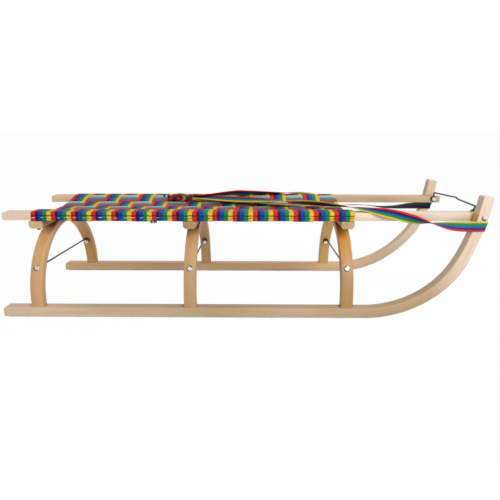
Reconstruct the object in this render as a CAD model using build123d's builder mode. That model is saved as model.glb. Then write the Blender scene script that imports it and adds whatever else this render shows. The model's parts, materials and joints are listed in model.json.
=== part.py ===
"""Wooden three-arch sled with a woven webbing seat and a webbing pull strap.

Frame: +X is forward (towards the horns), +Y is the sled's left, +Z is up.
The origin is on the ground, under the middle of the sled's box.
All lengths are in millimetres.
"""
from build123d import *
import math
import os

# ---------------------------------------------------------------- driving dimensions
# runners: bent beech strips, flat on the snow and turned up into two horns
sled_width = 360.0          # over the outer faces of the runners
runner_width = 24.0
runner_height = 23.5
shoe_thickness = 1.5        # steel strip under each runner
shoe_width = 20.0
shoe_rear_inset = 12.0      # bare wood behind the steel strip
shoe_wrap_angle = 62.0      # how far the strip follows the bend
sole_length = 838.0         # straight part of a runner
bend_radius = 259.0         # underside of the steel strip
bend_angle = 70.5
ease_radius = 396.0         # the gentler bend above
ease_angle = 10.7
tip_length = 30.0           # straight end of a horn, before its chamfer
tip_chamfer = 5.0
runner_nose_length = 6.0    # sloping cut at a runner's rear end
runner_nose_height = 5.0
horn_lean = 17.0            # how far each horn leans inward
lean_start_height = 32.0
lean_end_drop = 6.0         # a horn stands upright again this far below the rails

# seat rails: two straight rails bolted inside the horns
rail_width = 30.0
rail_height = 18.3
rail_rear_inset = 7.0       # rail's rear end, forward of the runner's rear end
rail_front_inset = 0.0      # rail's front end, behind the foremost point of the horns
rail_nose_length = 5.0
rail_nose_height = 3.0
rail_end_chamfer = 3.0

# arches: three bent hoops standing on the runners
arch_stations = {"rear": 81.3, "middle": 434.5, "front": 795.4}
arch_width = 28.0
arch_thickness = 18.5
arch_inset = 1.0            # arch's outer face to the runner's outer face
arch_foot_height = 6.0      # straight foot of an arch, above the runner

# crossbars: one on top of each arch, under the rails
crossbar_width = 30.0
crossbar_height = 17.4
crown_trim = 8.0            # planed off the top of each arch
crossbar_chamfer = 5.0

# woven seat
band_thickness = 1.4
band_clearance = 0.3        # webbing to wood
cross_band_count = 16
cross_band_width = 41.4
cross_band_pitch = 45.85
first_band_station = 98.0   # middle of the rearmost cross band
long_band_count = 5
long_band_gap = 4.2         # between the edges of two lengthwise bands
long_band_tail = 3.0        # free end past the last cross band
seat_sag = 17.0
weave_lift = 0.9            # each layer's distance from the seat's mean surface
weave_edge_gap = 0.5        # from a band's edge to where its neighbour dips
flange_gap = 3.0            # from the turned-up end of a band to the sheet above

# ironwork
bolt_radius = 3.0
bolt_hole_radius = 3.2
bolt_head_radius = 6.5
bolt_head_height = 3.2
nut_radius = 5.8            # across the corners
nut_height = 5.0
leg_bolt_angles = {-1: 27.8, 1: 25.8}  # right and left, above the arch's centre
rod_radius = 2.0
rod_eye_radius = 8.0
rod_eye_thickness = 3.0
rod_eye_seat = 0.25         # flat eye on the hollow face of a leg
rod_below_rim = 0.6         # the rod joins an eye at its rim, clear of the nut
rod_end_gap = 0.8           # the rod's end to the leg's hollow face
wire_below_rim = 1.2        # the brace's wire joins its eye there too
screw_radius = 2.5
screw_head_radius = 4.0
screw_head_height = 5.5
screw_depth = 30.0
screw_band_gap = 0.7        # webbing to a screw that passes through it
horn_bolt_drop = 7.2        # horn bolt, below the rails' top faces
horn_bolt_shifts = {-1: (4.2, 2.5), 1: (0.0, 0.0)}  # right and left, forward and up
brace_rise = 10.3           # the wire brace, above the rails' top faces
brace_kink = 4.0            # uneven bends in the wire
brace_rest = 5.0            # its right end stands forward of the bolt
brace_clearance = 1.0

# pull strap: flat webbing, looped round both horns and knotted on the seat
strap_width = 24.0
strap_thickness = 1.6
loop_clearance = 1.1        # webbing loop to horn
loop_drop = 10.0            # middle of a loop, below the rails' undersides
loop_tilt = 14.0            # a loop sits higher on the horn's outer face
loop_run = 26.0             # straight run square to the loop's rear face
knot_length = 58.0
knot_width = 28.0
knot_height = 18.0
knot_edge = 5.0
knot_roll = 13.0            # the knot lies on the slope of the seat
knot_turn = 8.0             # and is turned a little from the sled's length
knot_run = 24.0             # straight run square to the knot's front face
knot_layer = 4.5            # height between the straps that enter the knot

# ---------------------------------------------------------------- worked-out sizes
lean_angle_top = math.radians(bend_angle + ease_angle)
runner_length = (
    sole_length
    + bend_radius * math.sin(math.radians(bend_angle))
    + ease_radius * (math.sin(lean_angle_top) - math.sin(math.radians(bend_angle)))
    + tip_length * math.cos(lean_angle_top)
)
overall_length = runner_length
rear_x = -overall_length / 2
half_width = sled_width / 2
runner_top = shoe_thickness + runner_height
arch_radius = half_width - arch_inset
arch_centre_height = runner_top + arch_foot_height
crossbar_bottom = arch_centre_height + arch_radius - crown_trim
crossbar_top = crossbar_bottom + crossbar_height
rail_bottom_height = crossbar_top + 2 * band_clearance + band_thickness
lean_end_height = rail_bottom_height - lean_end_drop
rail_outer = half_width - runner_width - horn_lean
rail_inner = rail_outer - rail_width
rail_middle = (rail_outer + rail_inner) / 2
rail_top = rail_bottom_height + rail_height
band_offset = band_clearance + band_thickness / 2
horn_bolt_height = rail_top - horn_bolt_drop
brace_height = rail_top + brace_rise
loop_height = rail_bottom_height - loop_drop
sides = {"right": -1, "left": 1}


def station(distance):
    """X of a point at this distance forward of the runners' rear end."""
    return rear_x + distance


def horn_station(height):
    """Distance from the runners' rear end to a horn's mid-line at this height."""
    middle = shoe_thickness + runner_height / 2
    radius = bend_radius - middle
    bend_end = math.radians(bend_angle)
    bend_top = bend_radius - radius * math.cos(bend_end)
    ease = ease_radius - middle
    angle = math.acos(math.cos(bend_end) - (height - bend_top) / ease)
    return (
        sole_length
        + radius * math.sin(bend_end)
        + ease * (math.sin(angle) - math.sin(bend_end))
    )


def horn_bolt_place(side):
    """X and Z of a horn bolt's axis."""
    forward, rise = horn_bolt_shifts[side]
    return station(horn_station(horn_bolt_height)) + forward, horn_bolt_height + rise


# ---------------------------------------------------------------- runners and shoes
def bent_outline(underside, height, start, wrap_angle, with_horn):
    """Side view of a strip that follows the runner's bend."""
    radius = bend_radius - underside
    inner = radius - height
    sole = Line((start, underside), (station(sole_length), underside))
    bend = JernArc(start=sole @ 1, tangent=sole % 1, radius=radius, arc_size=wrap_angle)
    last = bend
    if with_horn:
        ease = JernArc(
            start=bend @ 1, tangent=bend % 1, radius=ease_radius - underside, arc_size=ease_angle
        )
        last = Line(ease @ 1, ease @ 1 + tip_length * (ease % 1))
    along = last % 1
    across = along.rotate(Axis.Z, 90)
    outer_end = last @ 1
    if with_horn:
        Polyline(
            outer_end,
            outer_end + tip_chamfer * (along + across),
            outer_end + tip_chamfer * along + (height - tip_chamfer) * across,
            outer_end + height * across,
        )
        back = Line(
            outer_end + height * across, outer_end + height * across - tip_length * along
        )
        ease_back = JernArc(
            start=back @ 1,
            tangent=back % 1,
            radius=ease_radius - underside - height,
            arc_size=-ease_angle,
        )
        bend_back = JernArc(
            start=ease_back @ 1, tangent=ease_back % 1, radius=inner, arc_size=-wrap_angle
        )
    else:
        end = Line(outer_end, outer_end + height * across)
        bend_back = JernArc(
            start=end @ 1, tangent=-1 * along, radius=inner, arc_size=-wrap_angle
        )
    return sole @ 0, bend_back @ 1


def leaning_strip(side, width):
    """Front view of a runner or shoe: upright at the foot, leaning inward above."""
    middle = half_width - runner_width / 2
    inner = side * (middle - width / 2)
    outer = side * (middle + width / 2)
    lean = side * horn_lean
    halfway = (lean_start_height + lean_end_height) / 2
    top = 2 * rail_top
    Line((inner, 0), (outer, 0))
    Line((outer, 0), (outer, lean_start_height))
    Bezier(
        (outer, lean_start_height),
        (outer, halfway),
        (outer - lean, halfway),
        (outer - lean, lean_end_height),
    )
    Line((outer - lean, lean_end_height), (outer - lean, top))
    Line((outer - lean, top), (inner - lean, top))
    Line((inner - lean, top), (inner - lean, lean_end_height))
    Bezier(
        (inner - lean, lean_end_height),
        (inner - lean, halfway),
        (inner, halfway),
        (inner, lean_start_height),
    )
    Line((inner, lean_start_height), (inner, 0))


def build_runner(name, side):
    """A wooden runner, from its chamfered rear end to the tip of its horn."""
    with BuildPart() as runner:
        with BuildSketch(Plane.XZ):
            with BuildLine():
                start, end = bent_outline(
                    shoe_thickness, runner_height, station(2.0), bend_angle, True
                )
                Polyline(
                    end,
                    (station(runner_nose_length), runner_top),
                    (station(0), runner_top - runner_nose_height),
                    start,
                )
            make_face()
        extrude(amount=half_width, both=True)
        with BuildSketch(Plane.YZ):
            with BuildLine():
                leaning_strip(side, runner_width)
            make_face()
        extrude(amount=overall_length, both=True, mode=Mode.INTERSECT)
        bolt_x, bolt_z = horn_bolt_place(side)
        with Locations((bolt_x, 0, bolt_z)):
            Cylinder(bolt_hole_radius, sled_width, rotation=(90, 0, 0), mode=Mode.SUBTRACT)
    runner.part.label = f"runner_{name}"
    export_step(runner.part, f"parts/{runner.part.label}.step")


def build_shoe(name, side):
    """The steel strip under a runner, carried up the bend."""
    with BuildPart() as shoe:
        with BuildSketch(Plane.XZ):
            with BuildLine():
                start, end = bent_outline(
                    0.0, shoe_thickness, station(shoe_rear_inset), shoe_wrap_angle, False
                )
                Polyline(end, (station(shoe_rear_inset), shoe_thickness), start)
            make_face()
        extrude(amount=half_width, both=True)
        with BuildSketch(Plane.YZ):
            with BuildLine():
                leaning_strip(side, shoe_width)
            make_face()
        extrude(amount=overall_length, both=True, mode=Mode.INTERSECT)
    shoe.part.label = f"runner_shoe_{name}"
    export_step(shoe.part, f"parts/{shoe.part.label}.step")


# ---------------------------------------------------------------- seat rails
def build_rail(name, side):
    """A straight seat rail with sloping ends."""
    rear = station(rail_rear_inset)
    front = station(runner_length - rail_front_inset)
    face = -side * (rail_outer if side > 0 else rail_inner)
    with BuildPart() as rail:
        with BuildSketch(Plane.XZ.offset(face)):
            with BuildLine():
                Polyline(
                    (rear + rail_end_chamfer, rail_bottom_height),
                    (front - rail_end_chamfer, rail_bottom_height),
                    (front, rail_bottom_height + rail_end_chamfer),
                    (front, rail_top - rail_end_chamfer),
                    (front - rail_end_chamfer, rail_top),
                    (rear + rail_nose_length, rail_top),
                    (rear, rail_top - rail_nose_height),
                    (rear, rail_bottom_height + rail_end_chamfer),
                    close=True,
                )
            make_face()
        extrude(amount=rail_width)
        bolt_x, bolt_z = horn_bolt_place(side)
        with Locations((bolt_x, 0, bolt_z)):
            Cylinder(bolt_hole_radius, sled_width, rotation=(90, 0, 0), mode=Mode.SUBTRACT)
        for place in arch_stations.values():
            with Locations((station(place), side * rail_middle, crossbar_bottom)):
                Cylinder(
                    screw_radius,
                    screw_depth,
                    align=(Align.CENTER, Align.CENTER, Align.MIN),
                    mode=Mode.SUBTRACT,
                )
    rail.part.label = f"seat_rail_{name}"
    export_step(rail.part, f"parts/{rail.part.label}.step")


# ---------------------------------------------------------------- arches and crossbars
def leg_bolt_plane(side, place, radius):
    """Plane on a leg, its normal pointing out along the bolt."""
    angle = math.radians(leg_bolt_angles[side])
    return Plane(
        origin=(
            station(place),
            side * radius * math.cos(angle),
            arch_centre_height + radius * math.sin(angle),
        ),
        x_dir=(1, 0, 0),
        z_dir=(0, side * math.cos(angle), math.sin(angle)),
    )


def build_arch(name, place):
    """A bent hoop whose feet stand on the runners and whose crown is planed flat."""
    with BuildPart() as arch:
        with BuildSketch(Plane.YZ.offset(station(place) - arch_width / 2)):
            with Locations((0, arch_centre_height)):
                Circle(arch_radius)
            with Locations((0, runner_top)):
                Rectangle(
                    2 * arch_radius,
                    arch_centre_height - runner_top,
                    align=(Align.CENTER, Align.MIN),
                )
            with Locations((0, arch_centre_height)):
                Circle(arch_radius - arch_thickness, mode=Mode.SUBTRACT)
            with Locations((0, runner_top)):
                Rectangle(
                    2 * (arch_radius - arch_thickness),
                    arch_centre_height - runner_top,
                    align=(Align.CENTER, Align.MIN),
                    mode=Mode.SUBTRACT,
                )
            with Locations((0, runner_top)):
                Rectangle(
                    sled_width,
                    crossbar_bottom - runner_top,
                    align=(Align.CENTER, Align.MIN),
                    mode=Mode.INTERSECT,
                )
        extrude(amount=arch_width)
        for side in sides.values():
            with Locations(leg_bolt_plane(side, place, arch_radius)):
                Cylinder(bolt_hole_radius, 4 * arch_thickness, mode=Mode.SUBTRACT)
    arch.part.label = f"arch_{name}"
    export_step(arch.part, f"parts/{arch.part.label}.step")


def build_crossbar(name, place):
    """A short bar across an arch's crown, its lower edges chamfered."""
    left = station(place) - crossbar_width / 2
    right = station(place) + crossbar_width / 2
    with BuildPart() as crossbar:
        with BuildSketch(Plane.XZ):
            with BuildLine():
                Polyline(
                    (left, crossbar_top),
                    (left, crossbar_bottom + crossbar_chamfer),
                    (left + crossbar_chamfer, crossbar_bottom),
                    (right - crossbar_chamfer, crossbar_bottom),
                    (right, crossbar_bottom + crossbar_chamfer),
                    (right, crossbar_top),
                    close=True,
                )
            make_face()
        extrude(amount=rail_outer, both=True)
        for side in sides.values():
            with Locations((station(place), side * rail_middle, crossbar_bottom)):
                Cylinder(screw_radius, 3 * crossbar_height, mode=Mode.SUBTRACT)
    crossbar.part.label = f"crossbar_{name}"
    export_step(crossbar.part, f"parts/{crossbar.part.label}.step")


# ---------------------------------------------------------------- ironwork
def domed_bolt(length):
    """A round-headed bolt, its shank pointing down -Z from the head's flat underside."""
    Cylinder(bolt_radius, length, align=(Align.CENTER, Align.CENTER, Align.MAX))
    Cone(
        bolt_head_radius,
        bolt_head_radius / 2,
        bolt_head_height,
        align=(Align.CENTER, Align.CENTER, Align.MIN),
    )


def build_leg_bolts(name, side):
    """Three bolts that hold the tie rods' eyes to one side's legs."""
    shank = arch_thickness + rod_eye_thickness + rod_eye_seat + nut_height + 2.0
    with BuildPart() as bolts:
        for place in arch_stations.values():
            with Locations(leg_bolt_plane(side, place, arch_radius)):
                domed_bolt(shank)
    bolts.part.label = f"leg_bolts_{name}"
    export_step(bolts.part, f"parts/{bolts.part.label}.step")


def build_leg_nuts(name, side):
    """The hexagon nuts on one side's leg bolts."""
    seat = arch_radius - arch_thickness - rod_eye_seat - rod_eye_thickness - nut_height
    with BuildPart() as nuts:
        for place in arch_stations.values():
            with BuildSketch(leg_bolt_plane(side, place, seat)):
                RegularPolygon(nut_radius, 6)
                Circle(bolt_hole_radius, mode=Mode.SUBTRACT)
            extrude(amount=nut_height)
    nuts.part.label = f"leg_nuts_{name}"
    export_step(nuts.part, f"parts/{nuts.part.label}.step")


def rod_end(side, place, seat):
    """Where a tie rod ends, at the rim of its eye and clear of the leg."""
    eye = leg_bolt_plane(side, place, seat + rod_eye_thickness / 2).origin
    height = eye.Z + rod_eye_radius - rod_below_rim
    rod_top = height + rod_radius - arch_centre_height
    reach = math.sqrt((arch_radius - arch_thickness) ** 2 - rod_top**2) - rod_end_gap
    return Vector(station(place), side * reach, height)


def build_tie_rod(name, place):
    """A steel rod across an arch, with a flat eye at each end."""
    seat = arch_radius - arch_thickness - rod_eye_seat - rod_eye_thickness
    ends = [rod_end(side, place, seat) for side in sides.values()]
    with BuildPart() as rod:
        for side in sides.values():
            with BuildSketch(leg_bolt_plane(side, place, seat)):
                Circle(rod_eye_radius)
                Circle(bolt_hole_radius, mode=Mode.SUBTRACT)
            extrude(amount=rod_eye_thickness)
        with BuildSketch(Plane(origin=ends[0], z_dir=ends[1] - ends[0])):
            Circle(rod_radius)
        extrude(amount=(ends[1] - ends[0]).length)
        for side in sides.values():
            with Locations(leg_bolt_plane(side, place, seat)):
                Cylinder(bolt_hole_radius, 3 * nut_height, mode=Mode.SUBTRACT)
    rod.part.label = f"tie_rod_{name}"
    export_step(rod.part, f"parts/{rod.part.label}.step")


def build_rail_screws(name, side):
    """Screws driven up through the crossbars into one rail."""
    with BuildPart() as screws:
        for place in arch_stations.values():
            with Locations((station(place), side * rail_middle, crossbar_bottom)):
                Cylinder(
                    screw_radius, screw_depth, align=(Align.CENTER, Align.CENTER, Align.MIN)
                )
                Cylinder(
                    screw_head_radius,
                    screw_head_height,
                    align=(Align.CENTER, Align.CENTER, Align.MAX),
                )
    screws.part.label = f"rail_screws_{name}"
    export_step(screws.part, f"parts/{screws.part.label}.step")


def build_horn_bolt(name, side):
    """The bolt through a horn and the rail inside it."""
    shank = runner_width + rail_width + rod_eye_thickness + nut_height + 2.0
    bolt_x, bolt_z = horn_bolt_place(side)
    face = Plane(
        origin=(bolt_x, side * (rail_outer + runner_width), bolt_z),
        x_dir=(1, 0, 0),
        z_dir=(0, side, 0),
    )
    with BuildPart() as bolt:
        with Locations(face):
            domed_bolt(shank)
    bolt.part.label = f"horn_bolt_{name}"
    export_step(bolt.part, f"parts/{bolt.part.label}.step")


def build_horn_nut(name, side):
    """The nut of a horn bolt, against the brace's eye."""
    bolt_x, bolt_z = horn_bolt_place(side)
    face = Plane(
        origin=(bolt_x, side * (rail_inner - rod_eye_thickness - nut_height), bolt_z),
        x_dir=(1, 0, 0),
        z_dir=(0, side, 0),
    )
    with BuildPart() as nut:
        with BuildSketch(face):
            RegularPolygon(nut_radius, 6)
            Circle(bolt_hole_radius, mode=Mode.SUBTRACT)
        extrude(amount=nut_height)
    nut.part.label = f"horn_nut_{name}"
    export_step(nut.part, f"parts/{nut.part.label}.step")


def build_front_brace():
    """Wire from rail to rail above the horn bolts, with an eye on each bolt."""
    right_x, right_z = horn_bolt_place(sides["right"])
    left_x, left_z = horn_bolt_place(sides["left"])
    eye_y = rail_inner - rod_eye_thickness / 2
    clear_y = rail_inner - rod_radius - brace_clearance
    rim = rod_eye_radius - wire_below_rim
    middle_x = (right_x + left_x) / 2 + brace_kink
    with BuildPart() as brace:
        with BuildLine():
            route = Polyline(
                (left_x, eye_y, left_z + rim),
                (left_x, clear_y, brace_height),
                (middle_x, -3 * brace_kink, brace_height + 1.4 * brace_kink),
                (middle_x, -6 * brace_kink, brace_height + 0.7 * brace_kink),
                (right_x + brace_rest, -clear_y, brace_height),
                (right_x, -eye_y, right_z + rim),
            )
        with BuildSketch(Plane(origin=route @ 0, z_dir=route % 0)):
            Circle(rod_radius)
        sweep(transition=Transition.ROUND)
        for side in sides.values():
            eye_x, eye_z = horn_bolt_place(side)
            face = Plane(
                origin=(eye_x, side * (rail_inner - rod_eye_thickness), eye_z),
                x_dir=(1, 0, 0),
                z_dir=(0, side, 0),
            )
            with BuildSketch(face):
                Circle(rod_eye_radius)
            extrude(amount=rod_eye_thickness)
            with Locations((eye_x, side * rail_inner, eye_z)):
                Cylinder(bolt_hole_radius, rail_width, rotation=(90, 0, 0), mode=Mode.SUBTRACT)
            with Locations((eye_x, side * rail_middle, eye_z)):
                Box(4 * rod_eye_radius, rail_width, 4 * rod_eye_radius, mode=Mode.SUBTRACT)
    brace.part.label = "front_brace"
    export_step(brace.part, f"parts/{brace.part.label}.step")


# ---------------------------------------------------------------- woven seat
seat_half_width = rail_inner - band_offset
long_band_pitch = 2 * seat_half_width / long_band_count
long_band_width = long_band_pitch - long_band_gap
seat_height = rail_top + band_offset


def sag_point(index):
    """(Y, Z) of the seat's mean surface at an edge between lengthwise bands."""
    across = -seat_half_width + index * long_band_pitch
    share = across / seat_half_width
    return across, seat_height - seat_sag * (1 - share * share)


def sag_cell(index):
    """Middle, direction and normal of the surface under one lengthwise band."""
    low_y, low_z = sag_point(index)
    high_y, high_z = sag_point(index + 1)
    length = math.hypot(high_y - low_y, high_z - low_z)
    along = ((high_y - low_y) / length, (high_z - low_z) / length)
    normal = (-along[1], along[0])
    return ((low_y + high_y) / 2, (low_z + high_z) / 2), along, normal


def cross_band_is_up(cross_index, long_index):
    """True where a cross band passes over a lengthwise band."""
    return (cross_index + long_index) % 2 == 0


def strip_outline(points, thickness):
    """Closed outline of a thin strip with mitred corners along a line of points."""
    half = thickness / 2
    left = []
    right = []
    count = len(points)
    for index, (u, v) in enumerate(points):
        before = points[max(index - 1, 0)]
        after = points[min(index + 1, count - 1)]
        angle_in = math.atan2(v - before[1], u - before[0]) if index > 0 else None
        angle_out = math.atan2(after[1] - v, after[0] - u) if index < count - 1 else None
        if angle_in is None:
            angle_in = angle_out
        if angle_out is None:
            angle_out = angle_in
        turn = (angle_out - angle_in + math.pi) % (2 * math.pi) - math.pi
        middle = angle_in + turn / 2
        reach = half / math.cos(turn / 2)
        left.append((u - reach * math.sin(middle), v + reach * math.cos(middle)))
        right.append((u + reach * math.sin(middle), v - reach * math.cos(middle)))
    return left + right[::-1]


def cross_band_points(cross_index):
    """(Y, Z) line of a cross band: over and round both rails, woven between them."""
    under = rail_bottom_height - band_offset
    flange_top = seat_height - band_thickness - flange_gap
    side_y = rail_outer + band_offset
    end = [
        (rail_inner - band_offset, flange_top),
        (rail_inner - band_offset, under),
        (side_y, under),
        (side_y, seat_height),
    ]
    reach = long_band_width / 2 + weave_edge_gap
    woven = []
    for long_index in range(long_band_count):
        (y, z), along, normal = sag_cell(long_index)
        lift = weave_lift if cross_band_is_up(cross_index, long_index) else -weave_lift
        for step in (-reach, reach):
            woven.append(
                (y + step * along[0] + lift * normal[0], z + step * along[1] + lift * normal[1])
            )
    right_end = [(-y, z) for y, z in end] + [(-rail_inner, seat_height)]
    left_end = [(rail_inner, seat_height)] + end[::-1]
    return right_end + woven + left_end


def cross_band_station(cross_index):
    """Distance of a cross band's middle from the runners' rear end."""
    return first_band_station + cross_index * cross_band_pitch


def build_cross_band(cross_index):
    """One band across the seat, wrapped round both rails."""
    middle = station(cross_band_station(cross_index))
    with BuildPart() as band:
        with BuildSketch(Plane.YZ.offset(middle - cross_band_width / 2)):
            with BuildLine():
                Polyline(*strip_outline(cross_band_points(cross_index), band_thickness), close=True)
            make_face()
        extrude(amount=cross_band_width)
        for place in arch_stations.values():
            for side in sides.values():
                with Locations((station(place), side * rail_middle, crossbar_top)):
                    Cylinder(
                        screw_radius + screw_band_gap, rail_height, mode=Mode.SUBTRACT
                    )
    band.part.label = f"cross_band_{cross_index + 1:02d}"
    export_step(band.part, f"parts/{band.part.label}.step")


def build_long_band(long_index):
    """One band along the seat, woven through the cross bands."""
    (y, z), along, normal = sag_cell(long_index)
    reach = cross_band_width / 2 + weave_edge_gap
    points = []
    for cross_index in range(cross_band_count):
        middle = station(cross_band_station(cross_index))
        lift = -weave_lift if cross_band_is_up(cross_index, long_index) else weave_lift
        before = long_band_tail if cross_index == 0 else 0.0
        after = long_band_tail if cross_index == cross_band_count - 1 else 0.0
        points.append((middle - reach - before, lift))
        points.append((middle + reach + after, lift))
    plane = Plane(origin=(0, y, z), x_dir=(1, 0, 0), z_dir=(0, -along[0], -along[1]))
    with BuildPart() as band:
        with BuildSketch(plane):
            with BuildLine():
                Polyline(*strip_outline(points, band_thickness), close=True)
            make_face()
        extrude(amount=long_band_width / 2, both=True)
    band.part.label = f"long_band_{long_index + 1}"
    export_step(band.part, f"parts/{band.part.label}.step")


# ---------------------------------------------------------------- pull strap
def strap_point(length_share, width_share, rise):
    """A place given as shares of the sled's length and of the rails' spread."""
    return Vector(
        station(length_share * runner_length), width_share * rail_outer, rail_top + rise
    )


def knot_plane():
    """Front face of the knot, its normal pointing back out along the straps."""
    turn = math.radians(knot_turn)
    roll = math.radians(knot_roll)
    out = Vector(math.cos(turn), -math.sin(turn), 0)
    across = Vector(
        math.sin(turn) * math.cos(roll), math.cos(turn) * math.cos(roll), math.sin(roll)
    )
    return Plane(origin=strap_point(0.377, 0.475, 3.6), x_dir=across, z_dir=out)


def loop_sizes():
    """Inside length (X) and width (Y) of a horn loop."""
    low = horn_station(loop_height - strap_width / 2)
    high = horn_station(loop_height + strap_width / 2)
    slope = math.atan2(strap_width, high - low)
    along = runner_height / math.sin(slope) + (high - low) + 2 * loop_clearance
    return along, runner_width + 2 * loop_clearance


def loop_exit(side, face):
    """Two points where a strap leaves a loop, square to the loop's rear face."""
    along, across = loop_sizes()
    out = face * (across + strap_thickness) / 2
    start = Vector(
        station(horn_station(loop_height)) - along / 2 - strap_thickness,
        side * (rail_outer + runner_width / 2) + out,
        loop_height + side * out * math.tan(math.radians(loop_tilt)),
    )
    return [start, start - Vector(loop_run, 0, 0)]


def knot_entry(layer):
    """Two points where a strap enters the knot, square to its front face."""
    plane = knot_plane()
    end = plane.origin + layer * knot_layer * plane.y_dir
    return [end + knot_run * plane.z_dir, end]


def right_strap():
    """The strap from the right horn: over the right rail, then to the knot."""
    points = [
        strap_point(0.914, -1.13, -24.5),
        strap_point(0.885, -1.11, -20.5),
        strap_point(0.845, -1.10, -11.0),
        strap_point(0.805, -1.06, 0.0),
        strap_point(0.765, -0.94, 5.2),
        strap_point(0.728, -0.76, 8.3),
        strap_point(0.690, -0.56, 9.0),
        strap_point(0.649, -0.38, 8.5),
        strap_point(0.610, -0.22, 6.5),
        strap_point(0.560, -0.02, 6.5),
        strap_point(0.510, 0.14, 4.5),
        strap_point(0.460, 0.28, 3.2),
    ]
    leans = [182, 198, 236, 278, 346, 385, 432, 462, 482, 486, 468, 440, 424, 424, 435]
    return loop_exit(-1, -1) + points + knot_entry(0), leans + [437, 437]


def left_strap():
    """The strap from the left horn: under the left rail, over the seat's front edge."""
    points = [
        strap_point(0.915, 0.93, -32.0),
        strap_point(0.885, 0.80, -31.0),
        strap_point(0.850, 0.60, -26.0),
        strap_point(0.815, 0.36, -17.0),
        strap_point(0.780, 0.14, -8.5),
        strap_point(0.740, -0.02, -5.5),
        strap_point(0.695, -0.02, -7.0),
        strap_point(0.645, 0.06, -8.5),
        strap_point(0.590, 0.18, -8.0),
        strap_point(0.535, 0.30, -5.5),
        strap_point(0.485, 0.38, -2.5),
        strap_point(0.440, 0.42, -0.5),
    ]
    leans = [180, 178, 162, 134, 117, 108, 104, 100, 95, 92, 90, 87, 84, 80, 78]
    return loop_exit(1, -1) + points + knot_entry(-1), leans + [77, 77]


def strap_tail():
    """The strap's free end, from outside the left rail to the knot."""
    points = [
        strap_point(0.712, 1.10, -20.0),
        strap_point(0.690, 1.09, -13.5),
        strap_point(0.664, 1.06, -3.0),
        strap_point(0.632, 1.00, 4.0),
        strap_point(0.598, 0.94, 4.8),
        strap_point(0.560, 0.87, 6.0),
        strap_point(0.525, 0.80, 7.0),
        strap_point(0.485, 0.69, 10.5),
        strap_point(0.450, 0.57, 10.5),
    ]
    leans = [540, 520, 484, 452, 436, 422, 410, 406, 418]
    return points + knot_entry(1), leans + [437, 437]


def turn_radii(points):
    """Arc radius at each inner point, as large as the two runs beside it allow."""
    radii = []
    for before, here, after in zip(points, points[1:], points[2:]):
        turn = math.radians((here - before).get_angle(after - here))
        shorter = min((here - before).length, (after - here).length)
        radii.append(0.45 * shorter / math.tan(turn / 2))
    return radii


def strap_sections(points, leans):
    """Planes across a strap, from its start to its end, and the route's length."""
    with BuildLine(mode=Mode.PRIVATE):
        route = FilletPolyline(*points, radius=turn_radii(points))
    marks = [0.0]
    for before, after in zip(points, points[1:]):
        marks.append(marks[-1] + (after - before).length)
    places = []
    travelled = 0.0
    for edge in route.edges():
        shares = (0.0, 0.5) if edge.geom_type == GeomType.CIRCLE else (0.0,)
        places += [(edge, share, travelled + share * edge.length) for share in shares]
        travelled += edge.length
    places.append((edge, 1.0, travelled))
    sections = []
    for edge, share, reached in places:
        along = reached * marks[-1] / travelled
        index = max(i for i, mark in enumerate(marks[:-1]) if mark <= along)
        part = (along - marks[index]) / (marks[index + 1] - marks[index])
        lean = math.radians(leans[index] + part * (leans[index + 1] - leans[index]))
        tangent = (edge % share).normalized()
        up = (Vector(0, 0, 1) - tangent * tangent.Z).normalized()
        wide = up * math.cos(lean) + tangent.cross(up) * math.sin(lean)
        sections.append(Plane(origin=edge @ share, x_dir=wide, z_dir=tangent))
    return sections, travelled


def build_strap(name, points, leans):
    """A free run of the pull strap."""
    sections, length = strap_sections(points, leans)
    with BuildPart() as strap:
        for plane in sections:
            with BuildSketch(plane):
                Rectangle(strap_width, strap_thickness)
        loft(ruled=True)
    ratio = strap.part.volume / (strap_width * strap_thickness * length)
    print(
        f"{name}: length {length:.0f}, volume over section times length {ratio:.3f}, "
        f"smallest radius {min(turn_radii(points)):.0f}"
    )
    strap.part.label = name
    export_step(strap.part, f"parts/{strap.part.label}.step")


def build_strap_loop(name, side):
    """The webbing loop round one horn, lower on the horn's inner face."""
    along, across = loop_sizes()
    centre = (station(horn_station(loop_height)), side * (rail_outer + runner_width / 2))
    slab = strap_width * math.cos(math.radians(loop_tilt))
    with BuildPart() as loop:
        with BuildSketch(Plane.XY.offset(loop_height)):
            with Locations(centre):
                Rectangle(along + 2 * strap_thickness, across + 2 * strap_thickness)
                Rectangle(along, across, mode=Mode.SUBTRACT)
        extrude(amount=strap_width, both=True)
        with Locations((*centre, loop_height)):
            Box(
                sled_width,
                sled_width,
                slab,
                rotation=(side * loop_tilt, 0, 0),
                mode=Mode.INTERSECT,
            )
    loop.part.label = f"strap_loop_{name}"
    export_step(loop.part, f"parts/{loop.part.label}.step")


def build_strap_knot():
    """The tangled knot that the straps run into, as one plain block."""
    with BuildPart() as knot:
        with BuildSketch(knot_plane()):
            RectangleRounded(knot_width, knot_height, knot_edge)
        extrude(amount=-knot_length)
    knot.part.label = "strap_knot"
    export_step(knot.part, f"parts/{knot.part.label}.step")


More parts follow.
